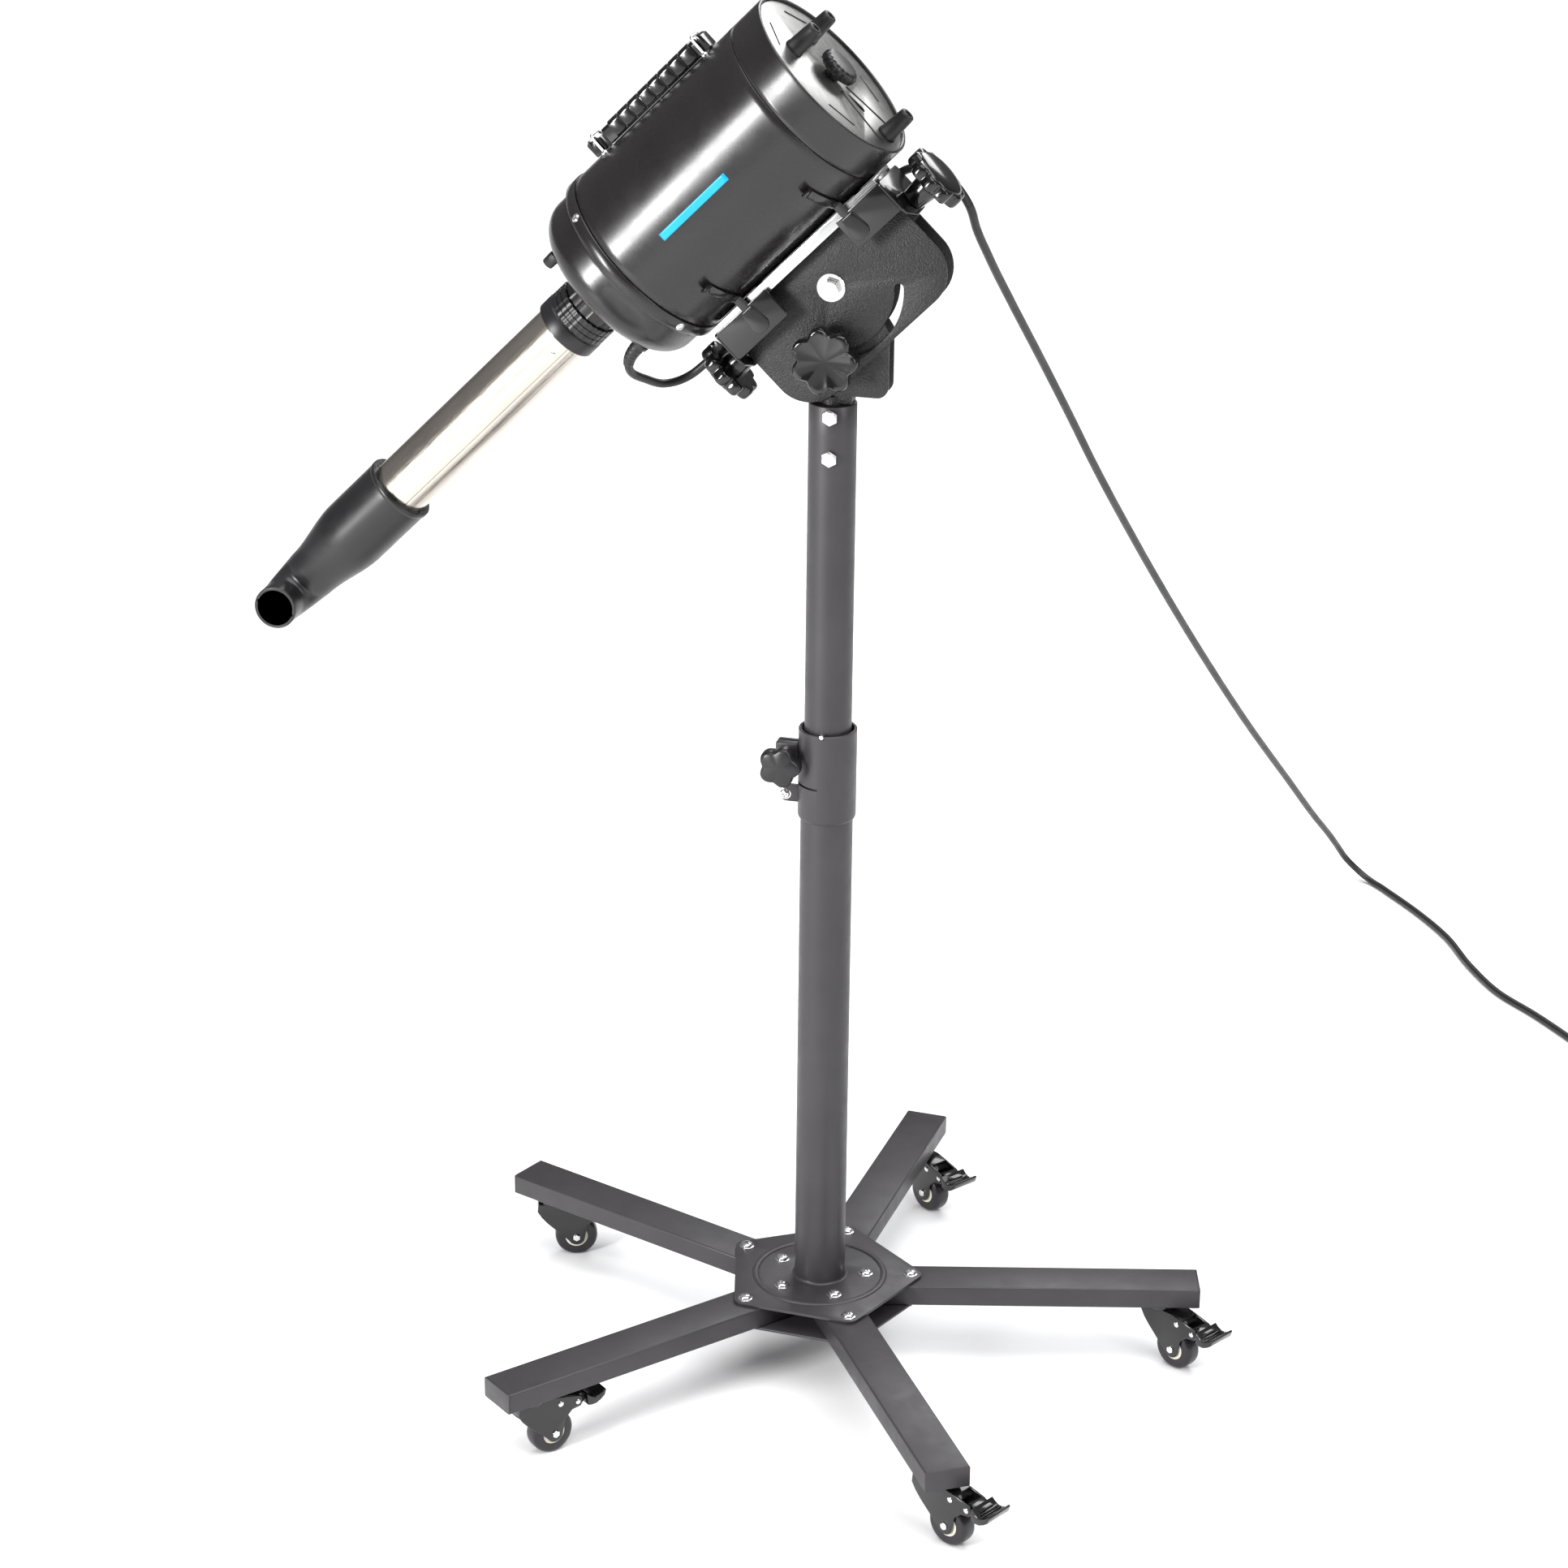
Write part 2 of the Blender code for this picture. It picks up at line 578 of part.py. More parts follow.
def build_tilt_knob(parent):
    half = TILT_PLATE_OUT + GAP
    knob = plate("tilt_knob", [lobed(0.0360, 0.0075, 7)], -0.0500, -0.0300, "XZ")
    neck = rod("neck", 0.0140, (0, -0.0310, 0), (0, -half, 0), 20)
    bolt = rod("bolt", 0.0045, (0, -0.0320, 0), (0, half + 0.009, 0), 16)
    nut = rod("nut", 0.0085, (0, half, 0), (0, half + 0.007, 0), 6)
    knob = place(joined(knob, neck, bolt, nut), parent, GLOSS_BLACK)
    knob.matrix_local = Matrix.Translation((0, 0, PIVOT_Z - KNOB_DROP))


# ---- Tilting cradle, in the head's frame: +X to the canister's rear ----------
def slot_outline():
    """A slot centred on the tilt axis, for the clamping knob's bolt."""
    low, high = -90 - SLOT_SWEEP, -90 + SLOT_SWEEP
    low_end = (KNOB_DROP * math.cos(math.radians(low)), KNOB_DROP * math.sin(math.radians(low)))
    high_end = (KNOB_DROP * math.cos(math.radians(high)), KNOB_DROP * math.sin(math.radians(high)))
    outline = arc((0, 0), KNOB_DROP + SLOT_HALF, low, high, 13)
    outline += arc(high_end, SLOT_HALF, high, high + 180, 5)[1:-1]
    outline += arc((0, 0), KNOB_DROP - SLOT_HALF, high, low, 13)
    outline += arc(low_end, SLOT_HALF, low + 180, low + 360, 5)[1:-1]
    return outline


def side_plate(name, low, high):
    top = WEB_TOP - 0.0008
    outline = rounded([(CRADLE_FRONT, top, 0), (CRADLE_FRONT, -0.082, 0.040),
                       (CRADLE_REAR, -0.082, 0.040), (CRADLE_REAR, top, 0)], 5)
    return plate(name, [outline, ring_points(0.0055 + GAP, (0, 0), 16), slot_outline()], low, high, "XZ")


def screw_bore():
    return rod("bore", 0.0040 + GAP, (-0.2, 0, JAW_SCREW_Z), (0.2, 0, JAW_SCREW_Z), 12)


def build_tilt_bracket(parent):
    """A channel upside down: a web under the cradle, two slotted sides and two end tabs."""
    bracket = side_plate("tilt_bracket", -TILT_PLATE_OUT, -TILT_PLATE_IN)
    rear = side_plate("rear", TILT_PLATE_IN, TILT_PLATE_OUT)
    wide, front, back = TILT_PLATE_OUT - 0.0003, CRADLE_FRONT + 0.0003, CRADLE_REAR - 0.0003
    web = box("web", (front, -wide, WEB_LOW), (back, wide, WEB_TOP))
    inside = TILT_PLATE_IN + 0.001
    front_tab = box("tab", (front + 0.0002, -inside, -0.008), (front + 0.0025, inside, WEB_LOW + 0.001))
    rear_tab = box("tab", (back - 0.0025, -inside, -0.008), (back - 0.0002, inside, WEB_LOW + 0.001))
    bracket = joined(bracket, rear, web, front_tab, rear_tab)
    place(cut(bracket, screw_bore()), parent, TEXTURED_BLACK)


def build_tray(parent):
    """A bright channel with a middle rib, between the bracket's web and the canister."""
    low, high = WEB_TOP + GAP, TRAY_TOP
    ceiling = high - 0.003
    outline = [(-0.034, high), (-0.034, low), (-0.031, low), (-0.031, ceiling), (-0.0175, ceiling),
               (-0.0175, low), (0.0175, low), (0.0175, ceiling), (0.031, ceiling), (0.031, low),
               (0.034, low), (0.034, high)]
    place(plate("cradle_tray", [outline], CRADLE_FRONT, -CRADLE_FRONT, "YZ"), parent, BRIGHT_METAL)


def finger_band(side):
    """Outline of a strip that rises from a flap, hugs the canister and curls out at its tip."""
    centre = (0, CAN_Z)
    near, far = CAN_RADIUS + 0.0015, CAN_RADIUS + 0.0035
    band = [(0.0370, 0.0400)] + arc(centre, near, -69.2, -40, 5)
    band += arc(centre, far + 0.0040, -36.5, -36.5, 1) + arc(centre, far + 0.0057, -37.5, -37.5, 1)
    band += arc(centre, far, -41.5, -67.9, 5) + [(0.0400, 0.0400)]
    return [(side * y, z) for y, z in band]


def build_jaw(parent, name, side, flap_start, finger_middle):
    """End plate, two side flaps and two fingers; side is +1 at the rear."""
    face, back = side * JAW_FACE, side * (JAW_FACE + 0.003)
    jaw = box(name, (min(face, back), -0.040, -0.006), (max(face, back), 0.040, 0.046))
    pieces = []
    low_x, high_x = sorted((flap_start, side * (JAW_FACE + 0.001)))
    finger_low = finger_middle - 0.005
    for lateral in (-1, 1):
        low_y, high_y = sorted((lateral * 0.037, lateral * 0.040))
        pieces.append(box("flap", (low_x, low_y, 0.010), (high_x, high_y, 0.046)))
        pieces.append(plate("finger", [finger_band(lateral)], finger_low, finger_low + 0.010, "YZ"))
    jaw = joined(jaw, *pieces)
    place(cut(jaw, screw_bore()), parent, GLOSS_BLACK)


def build_jaw_knob(parent, name, side, disc_start):
    """A lobed disc on a screw that draws a jaw along the cradle."""
    face = side * (JAW_FACE + 0.003 + GAP)
    inner, outer = side * disc_start, side * (disc_start + 0.015)
    disc = plate(name, [lobed(0.0350, 0.0045, 10, 4)], min(inner, outer), max(inner, outer), "YZ")
    dome = rod("dome", 0.0290, (outer - side * 0.001, 0, 0), (outer + side * 0.005, 0, 0), 16, 0.0180)
    hub = rod("hub", 0.0120, (face, 0, 0), (inner + side * 0.001, 0, 0), 12)
    tip = CRADLE_FRONT + 0.0105 if side < 0 else CRADLE_REAR - 0.0105
    screw = rod("screw", 0.0040, (tip, 0, 0), (inner, 0, 0), 10)
    knob = place(joined(disc, dome, hub, screw), parent, GLOSS_BLACK)
    knob.matrix_local = Matrix.Translation((0, 0, JAW_SCREW_Z))


# ---- Canister, about its own axis -------------------------------------------
def can_part(name, profile, sides=32):
    """Turned about the canister's axis; profile is (radius, distance to the rear)."""
    return turned(name, profile, sides, "X", (0, 0, CAN_Z))


def can_tube(name, inner, outer, low, high, sides=32):
    return can_part(name, tube_profile(inner, outer, low, high), sides)


def build_shell(parent):
    shell = can_tube("canister_shell", CAN_RADIUS - CAN_WALL, CAN_RADIUS, CAN_FRONT, CAN_REAR)
    place(shell, parent, SATIN_BLACK)


def build_front_cap(parent):
    """A banded, drawn dome with the outlet in its middle."""
    rear = CAN_FRONT - GAP
    band = rear - BAND_LENGTH
    bend = DOME_RADIUS - 0.072
    centre = (DOME_FRONT + bend, 0.072)
    inside = CAN_RADIUS - CAN_WALL
    profile = [(CAN_RADIUS + 0.0015, rear), (CAN_RADIUS + 0.0015, band), (DOME_RADIUS, band)]
    profile += [(radius, x) for x, radius in arc(centre, bend, 90, 180, 4)]
    profile += [(SPIGOT_RADIUS + GAP, DOME_FRONT), (SPIGOT_RADIUS + GAP, DOME_FRONT + CAN_WALL)]
    profile += [(radius, x) for x, radius in arc(centre, bend - CAN_WALL, 180, 90, 3)]
    profile += [(DOME_RADIUS - CAN_WALL, band + CAN_WALL), (inside, band + CAN_WALL), (inside, rear)]
    cap = can_part("front_cap", profile)
    holes = []
    for (y, z), radius in ((SWITCH_SPOT, 0.0035), (GLAND_SPOT, 0.0062)):
        holes.append(rod("hole", radius, (DOME_FRONT - 0.01, y, z), (DOME_FRONT + 0.015, y, z), 12))
    place(cut(cap, *holes), parent, SATIN_BLACK)


def build_switch(parent):
    y, z = SWITCH_SPOT
    base = rod("power_switch", 0.0065, (DOME_FRONT - 0.014, y, z), (DOME_FRONT - GAP, y, z), 16)
    shaft = rod("shaft", 0.0032, (DOME_FRONT - 0.002, y, z), (DOME_FRONT + 0.010, y, z), 12)
    place(joined(base, shaft), parent, BLACK_PLASTIC, (DOME_FRONT, y, z))


def build_gland(parent):
    """The cord's bush in the dome and its tapered strain relief."""
    y, z = GLAND_SPOT
    base = rod("cord_gland", 0.0095, (DOME_FRONT - 0.005, y, z), (DOME_FRONT - GAP, y, z), 16)
    collar = rod("collar", 0.0058, (DOME_FRONT - 0.004, y, z), (DOME_FRONT + 0.008, y, z), 12)
    line = smooth_route([(DOME_FRONT - 0.003, y, z)] + BOOT_ROUTE, 1)
    boot = baked(swept("boot", line, 1.0, [0.0085, 0.0082, 0.0076, 0.0066, 0.0056], 3), "boot")
    place(joined(base, collar, boot), parent, RUBBER)


def build_rear_cap(parent):
    front = CAN_REAR + GAP
    outer, inner = CAN_RADIUS, CAN_RADIUS - CAN_WALL
    seat = PANEL_X - PANEL_THICK - GAP
    profile = [(outer, REAR_RIM - 0.001), (outer, front), (inner, front), (inner, seat - 0.004),
               (0.0935, seat - 0.003), (0.0935, seat), (0.0990, seat), (0.0990, REAR_RIM),
               (outer - 0.001, REAR_RIM)]
    place(can_part("rear_cap", profile), parent, SATIN_BLACK)


def build_rear_panel(parent):
    """The satin lid over the filter, with a keyhole below the hole for the knob's post."""
    rim = ring_points(0.0985, (0, CAN_Z), 32)
    post = ring_points(0.0055 + GAP, (0, CAN_Z), 16)
    keyhole = arc((0, CAN_Z - 0.045), 0.0045, 180, 360, 7)
    keyhole += [(0.0022, CAN_Z - 0.026), (-0.0022, CAN_Z - 0.026)]
    panel = plate("rear_panel", [rim, post, keyhole], PANEL_X - PANEL_THICK, PANEL_X, "YZ")
    place(panel, parent, SATIN_GREY)


def build_filter(parent):
    foam = can_tube("air_filter", 0.0060, CAN_RADIUS - CAN_WALL - GAP, CAN_REAR + 0.006, CAN_REAR + 0.026)
    place(foam, parent, FOAM)


def build_filter_knob(parent):
    profile = [(0.0, PANEL_X + 0.0185), (0.0190, PANEL_X + 0.0185), (0.0210, PANEL_X + 0.0165),
               (0.0210, PANEL_X + 0.0080), (0.0195, PANEL_X + 0.0065), (0.0085, PANEL_X + 0.0065),
               (0.0085, PANEL_X + GAP), (0.0055, PANEL_X + GAP), (0.0055, PANEL_X - 0.0300),
               (0.0, PANEL_X - 0.0300)]
    place(can_part("filter_knob", profile, 20), parent, BLACK_PLASTIC, (PANEL_X, 0, CAN_Z))


def build_rear_feet(parent):
    spots = [(-0.032, 0.044), (0.032, 0.044), (0.0, -0.081)]
    for index, (y, rise) in enumerate(spots):
        z = CAN_Z + rise
        start, end = (PANEL_X + GAP, y, z), (PANEL_X + 0.0325, y, z)
        place(rod(f"rear_foot_{index + 1}", 0.0105, start, end, 16, 0.0078), parent, RUBBER)


def build_blower(parent):
    """The motor on its mounting flange, and the fan wheel on the motor's shaft."""
    flange = -0.046
    rim = CAN_RADIUS - CAN_WALL - GAP
    profile = [(0.0, 0.052), (0.050, 0.052), (0.058, 0.044), (0.058, flange + 0.004),
               (rim, flange + 0.004), (rim, flange), (0.0045, flange), (0.0045, -0.096), (0.0, -0.096)]
    place(can_part("blower_motor", profile), parent, CAST_GREY)
    hub = [(0.074, -0.060), (0.074, -0.063), (0.018, -0.066), (0.018, -0.088),
           (0.0045 + GAP, -0.088), (0.0045 + GAP, -0.060)]
    fan = can_part("impeller", hub, 24)
    blades = []
    for index in range(7):
        blade = box("blade", (-0.084, -0.0012, 0.015), (-0.062, 0.0012, 0.073))
        swing = Matrix.Translation((0, 0, CAN_Z)) @ Matrix.Rotation(index * math.tau / 7, 4, "X")
        blades.append(moved(blade, swing))
    place(joined(fan, *blades), parent, BRIGHT_METAL, (0, 0, CAN_Z))


def build_outlet(parent):
    """A spigot through the dome, and the ring that couples the pipe to it."""
    inner = DOME_FRONT + CAN_WALL + GAP
    spigot = can_tube("outlet_spigot", SPIGOT_RADIUS - 0.0025, SPIGOT_RADIUS, SPIGOT_FRONT, inner + 0.003)
    flange = can_tube("flange", SPIGOT_RADIUS - 0.001, 0.042, inner, inner + 0.004)
    place(joined(spigot, flange), parent, BLACK_PLASTIC)
    bore = SPIGOT_RADIUS + GAP
    lip = RING_RADIUS + 0.0008
    profile = [(RING_RADIUS, RING_REAR), (RING_RADIUS, RING_REAR - 0.020), (lip, RING_REAR - 0.022),
               (lip, RING_FRONT), (bore, RING_FRONT), (bore, RING_REAR)]
    place(can_part("coupling_ring", profile), parent, BLACK_PLASTIC, (0, 0, CAN_Z))


def build_pipe(parent):
    pipe = can_tube("steel_tube", PIPE_RADIUS - PIPE_WALL, PIPE_RADIUS, PIPE_END, SPIGOT_FRONT - GAP)
    place(pipe, parent, STAINLESS, (0, 0, CAN_Z))


def nozzle_route():
    """Centre line and radius: straight over the pipe, tapering, then bending to the side outlet."""
    points = [(-0.5175, 0.0, 0.0389), (-0.5955, 0.0, 0.0389), (-0.6330, 0.0, 0.0341)]
    bend = 0.0312
    for step in range(6):
        angle = math.radians(18 * step)
        across = -bend * (1 - math.cos(angle))
        points.append((-0.6705 - bend * math.sin(angle), across, 0.0290 - 0.0055 * step / 5))
    points.append((-0.7017, -0.0550, SPOUT_RADIUS))
    return points


def build_nozzle(parent):
    points = nozzle_route()
    line = [(x, y, CAN_Z) for x, y, radius in points]
    outer = baked(swept("nozzle", line, 1.0, [radius for x, y, radius in points], 6), "nozzle")
    outer.name = "nozzle"
    line[0] = (line[0][0] + 0.01, 0.0, CAN_Z)
    line[-1] = (line[-1][0], line[-1][1] - 0.01, CAN_Z)
    bore = baked(swept("bore", line, 1.0, [radius - NOZZLE_WALL for x, y, radius in points], 6), "bore")
    nozzle = cut(outer, bore)
    sleeve = can_tube("sleeve", PIPE_RADIUS + GAP, 0.0376, -0.5440, -0.5300, 32)
    place(joined(nozzle, sleeve), parent, BLACK_PLASTIC, (0, 0, CAN_Z))


def build_handle(parent):
    """A strap handle with two necks, each under a wire loop on the canister."""
    low = CAN_Z + CAN_RADIUS + GAP
    outline = [(-0.0915, low), (0.0790, low), (0.0790, low + 0.0160), (0.0750, low + 0.0190),
               (0.0735, low + 0.0150), (0.0665, low + 0.0150), (0.0640, low + 0.0207),
               (-0.0660, low + 0.0207), (-0.0760, low + 0.0150), (-0.0840, low + 0.0150),
               (-0.0855, low + 0.0190), (-0.0915, low + 0.0160)]
    place(plate("handle_grip", [outline], -0.0120, 0.0120, "XZ"), parent, BLACK_PLASTIC)


def build_handle_loop(parent, name, x):
    half, wire = 0.0145, 0.0015
    base = CAN_Z + math.sqrt(CAN_RADIUS ** 2 - (half + 2 * wire) ** 2) + 0.0008
    top = CAN_Z + CAN_RADIUS + GAP + 0.0150 + 0.0040 + wire + 0.0005
    line = [(x, -half - wire, base), (x, -half, top - 0.003), (x, -half + 0.003, top),
            (x, half - 0.003, top), (x, half, top - 0.003), (x, half + wire, base)]
    place(baked(swept(name, line, wire), name), parent, ZINC)


# ---- Cord -------------------------------------------------------------------
def gapped(line):
    """The line with its first point moved on, so that its end clears the piece before it."""
    step = (Vector(line[1]) - Vector(line[0])).normalized() * 0.0007
    return [tuple(Vector(line[0]) + step)] + line[1:]


def build_cord(stand, mast, head):
    lead = smooth_route(LEAD_ROUTE, CORD_STEPS)
    place_curve(swept("cord_lead", gapped(lead), CORD_RADIUS), head, RUBBER)
    span = smooth_route(SPAN_ROUTE, CORD_STEPS)
    place_curve(swept("cord_span", gapped(span), CORD_RADIUS), mast, RUBBER)
    drop = smooth_route(DROP_ROUTE, CORD_STEPS)
    place_curve(swept("cord_drop", gapped(drop), CORD_RADIUS), stand, RUBBER)
    middle, shoulder = (COIL_OUTER + COIL_INNER) / 2, COIL_TOP - 0.0016
    coil = turned("cord_coil", [(middle, COIL_TOP), (COIL_OUTER, shoulder), (COIL_OUTER, GAP),
                                (COIL_INNER, GAP), (COIL_INNER, shoulder)], 28)
    place(moved(coil, Matrix.Translation((*COIL_CENTRE, 0))), stand, RUBBER)


def build_plug(parent):
    """A moulded plug with two blades and an earth pin, at the coil's tangent."""
    boot_radius = 0.0048
    y = COIL_CENTRE[1] - (COIL_OUTER + COIL_INNER) / 2
    inner_side = COIL_CENTRE[1] - y - boot_radius
    x = COIL_CENTRE[0] + math.sqrt(COIL_OUTER ** 2 - inner_side ** 2) + GAP
    boot = rod("plug", boot_radius, (x, y, PLUG_Z), (x + 0.024, y, PLUG_Z), 12, 0.0085)
    pieces = [box("body", (x + 0.020, y - 0.014, 0.0010), (x + 0.048, y + 0.014, 0.0266))]
    for side in (-1, 1):
        middle = y + side * 0.0063
        low, high = (x + 0.047, middle - 0.0008, PLUG_Z), (x + 0.066, middle + 0.0008, PLUG_Z + 0.006)
        pieces.append(box("blade", low, high))
    pieces.append(rod("earth", 0.0024, (x + 0.047, y, 0.0078), (x + 0.067, y, 0.0078), 12))
    place(joined(boot, *pieces), parent, BLACK_PLASTIC)


# ---- Assembly ---------------------------------------------------------------
def build_stand(stand):
    build_hub(stand)
    for index in range(LEG_COUNT):
        build_leg(stand, index)
    build_casters(stand)
    build_column(stand)
    build_collar(stand)
    build_height_knob(stand)


def build_head(head):
    build_tilt_bracket(head)
    build_tray(head)
    build_jaw(head, "jaw_front", -1, -0.045, -0.075)
    build_jaw(head, "jaw_rear", 1, 0.058, 0.072)
    build_jaw_knob(head, "jaw_knob_front", -1, 0.1420)
    build_jaw_knob(head, "jaw_knob_rear", 1, 0.1480)
    build_shell(head)
    build_front_cap(head)
    build_rear_cap(head)
    build_rear_panel(head)
    build_filter(head)
    build_filter_knob(head)
    build_rear_feet(head)
    build_blower(head)
    build_switch(head)
    build_gland(head)
    build_outlet(head)
    build_pipe(head)
    build_nozzle(head)
    build_handle(head)
    build_handle_loop(head, "handle_loop_front", -0.0800)
    build_handle_loop(head, "handle_loop_rear", 0.0700)


def build():
    stand = empty("stand_origin", None, Matrix.Identity(4))
    mast = empty("mast_axis", stand, Matrix.Identity(4))
    tilted = Matrix.Translation((0, 0, PIVOT_Z)) @ Matrix.Rotation(-TILT, 4, "Y")
    head = empty("tilt_axis", mast, tilted)
    build_stand(stand)
    build_mast(mast)
    build_mast_bracket(mast)
    build_pivot_bolt(mast)
    build_tilt_knob(mast)
    build_head(head)
    build_cord(stand, mast, head)
    build_plug(stand)


clear_scene()
PARTS = new_collection(CONTAINER)
BLACK_STEEL = material("black_steel", (0.035, 0.034, 0.037), 0.42)
TEXTURED_BLACK = material("textured_black", (0.018, 0.017, 0.018), 0.62)
SATIN_BLACK = material("satin_black", (0.022, 0.021, 0.022), 0.32)
GLOSS_BLACK = material("gloss_black", (0.008, 0.008, 0.009), 0.16)
BLACK_PLASTIC = material("black_plastic", (0.018, 0.018, 0.020), 0.45)
RUBBER = material("rubber_black", (0.012, 0.012, 0.012), 0.6)
TYRE = material("tyre_black", (0.020, 0.018, 0.020), 0.5)
STAINLESS = material("stainless", (0.62, 0.58, 0.52), 0.24, 1.0)
BRIGHT_METAL = material("bright_metal", (0.72, 0.72, 0.72), 0.3, 1.0)
ZINC = material("zinc_bolt", (0.78, 0.78, 0.78), 0.25, 1.0)
SATIN_GREY = material("satin_grey", (0.55, 0.55, 0.54), 0.4, 0.8)
FOAM = material("filter_foam", (0.06, 0.06, 0.065), 0.95)
CAST_GREY = material("motor_grey", (0.35, 0.35, 0.36), 0.5, 0.6)
build()
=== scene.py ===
"""Looks of the pet dryer on its caster stand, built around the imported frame. Metres, +Z up."""
import math

import bmesh
import bpy
from mathutils import Matrix, Vector


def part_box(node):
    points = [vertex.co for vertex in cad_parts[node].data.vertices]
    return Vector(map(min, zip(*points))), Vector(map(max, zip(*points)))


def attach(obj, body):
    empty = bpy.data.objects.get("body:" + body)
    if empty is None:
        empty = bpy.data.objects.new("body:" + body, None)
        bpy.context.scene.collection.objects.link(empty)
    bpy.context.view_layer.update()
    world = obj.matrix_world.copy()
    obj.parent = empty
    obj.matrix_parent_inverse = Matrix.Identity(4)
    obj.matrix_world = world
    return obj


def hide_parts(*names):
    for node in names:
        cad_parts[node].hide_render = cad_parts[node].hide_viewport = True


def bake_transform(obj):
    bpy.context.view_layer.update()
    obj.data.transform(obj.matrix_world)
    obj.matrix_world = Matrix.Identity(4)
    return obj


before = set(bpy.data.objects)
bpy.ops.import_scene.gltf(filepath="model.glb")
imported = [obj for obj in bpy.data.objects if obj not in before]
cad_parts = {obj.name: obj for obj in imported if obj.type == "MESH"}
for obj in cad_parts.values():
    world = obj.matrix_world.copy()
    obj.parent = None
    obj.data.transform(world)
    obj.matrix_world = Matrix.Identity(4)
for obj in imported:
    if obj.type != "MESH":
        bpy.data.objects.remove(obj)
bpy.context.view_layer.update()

# ---- Places, repeated from the CAD model -------------------------------------
PIVOT_Z = 1.2546
TILT = math.radians(45.4)
CAN_Z = 0.1555
KNOB_DROP = 0.0706
LEG_COUNT = 5
LEG_TURN = math.radians(13.34)
LEG_LOW, LEG_HIGH = 0.076, 0.100
LEG_HALF = 0.025                 # half a leg's width
LEG_START, LEG_REACH = 0.0360, 0.4300
LEG_CAP = 0.4284                 # where the end plate is welded on
HUB_THICK = 0.003
HUB_CORNER = 0.0125
HUB_BOLT_CIRCLE = 0.103
INNER_BOLT_CIRCLE = 0.0524
HUB_FACE = 0.1033                # top of the hub's upper plate
CASTER_RADIUS = 0.390
CASTER_HEADING = [-31.5, -36.5, 18.5, 48.5, -28.5]
CASTER_TRAIL = 0.026
CHEEK_IN, CHEEK_OUT = 0.0108, 0.0135
PEDAL_PIN = (0.055, 0.056)
WHEEL_RADIUS = 0.025
CLAMP_SCREW = (-0.0445, 0.0, 0.730)
LOWER_RADIUS = 0.0284
LOWER_TOP = 0.745
UPPER_RADIUS = 0.0254
UPPER_TOP = 1.1293
COLLAR_RADIUS = 0.0315
COLLAR_BOTTOM, COLLAR_TOP = 0.664, 0.767
STOP_PIN_Z = 0.7665
MAST_PLATE_IN, MAST_PLATE_OUT = 0.0105, 0.0135
TILT_PLATE_IN, TILT_PLATE_OUT = 0.0143, 0.0168
BOLT_SEAT = 0.0171               # tilt plate's outer face, plus the gap
SLOT_HALF = 0.0052
SLOT_ENDS = (-138, -42)          # degrees about the tilt axis
CRADLE_FRONT, CRADLE_REAR = -0.1160, 0.1120
JAW_FACE = 0.1180
JAW_THICK = 0.003
JAW_SCREW_Z = 0.0085
CAN_RADIUS = 0.1030
CAN_WALL = 0.0025
CAN_FRONT, CAN_REAR = -0.1225, 0.1098
DOME_RADIUS = 0.0985
DOME_FRONT = -0.1850
REAR_RIM = 0.1502
PANEL_X = 0.1475
SPIGOT_RADIUS = 0.0325
SPIGOT_FRONT = -0.2300
RING_REAR, RING_FRONT = -0.2145, -0.2535
RING_RADIUS = 0.0355
PIPE_RADIUS = 0.0325
PIPE_END = -0.545
SWITCH_SPOT = (-0.045, 0.2165)
GLAND_SPOT = (-0.0360, 0.0915)
GAP = 0.0003
CORD_RADIUS = 0.0045
COIL_RADIUS = 0.0495             # middle of the coil's turns
COIL_CENTRE = (0.9098, 0.9517)
PLUG_Z = 0.0138

ROW = Matrix.Identity(4)
HEAD = Matrix.Translation((0, 0, PIVOT_Z)) @ Matrix.Rotation(-TILT, 4, "Y")
CAN = HEAD @ Matrix.Translation((0, 0, CAN_Z))
AT_PIVOT = Matrix.Translation((0, 0, PIVOT_Z))
FACING_FRONT = Matrix.Rotation(math.radians(90), 4, "Z")    # turns a piece made along X to lie along Y
TO_NEAR_SIDE = Matrix.Rotation(math.radians(-90), 4, "Z")   # turns a piece made along X to point to -Y
UPRIGHT = Matrix.Rotation(math.radians(-90), 4, "Y")        # turns a piece made along X to stand along Z


# ---- Camera ------------------------------------------------------------------
def add_camera():
    data = bpy.data.cameras.new("camera")
    camera = bpy.data.objects.new("camera", data)
    bpy.context.scene.collection.objects.link(camera)
    forward = Vector((-0.2163, 0.9011, -0.3759)).normalized()
    right = forward.cross(Vector((0, 0, 1))).normalized()
    down = forward.cross(right)
    roll = -0.01105
    side = right * math.cos(roll) + down * math.sin(roll)
    up = right * math.sin(roll) - down * math.cos(roll)
    turn = Matrix((side, up, -forward)).transposed().to_4x4()
    camera.matrix_world = Matrix.Translation((0.8757, -3.8472, 2.3009)) @ turn
    data.sensor_width = 36.0
    data.lens = 90.72
    data.clip_end = 60.0
    bpy.context.scene.camera = camera


add_camera()


# ---- Materials ---------------------------------------------------------------
def node_material(name, colour, roughness, metallic=0.0):
    mat = bpy.data.materials.new(name)
    mat.use_nodes = True
    shader = mat.node_tree.nodes["Principled BSDF"]
    shader.inputs["Base Color"].default_value = (*colour, 1.0)
    shader.inputs["Roughness"].default_value = roughness
    shader.inputs["Metallic"].default_value = metallic
    return mat, mat.node_tree, shader


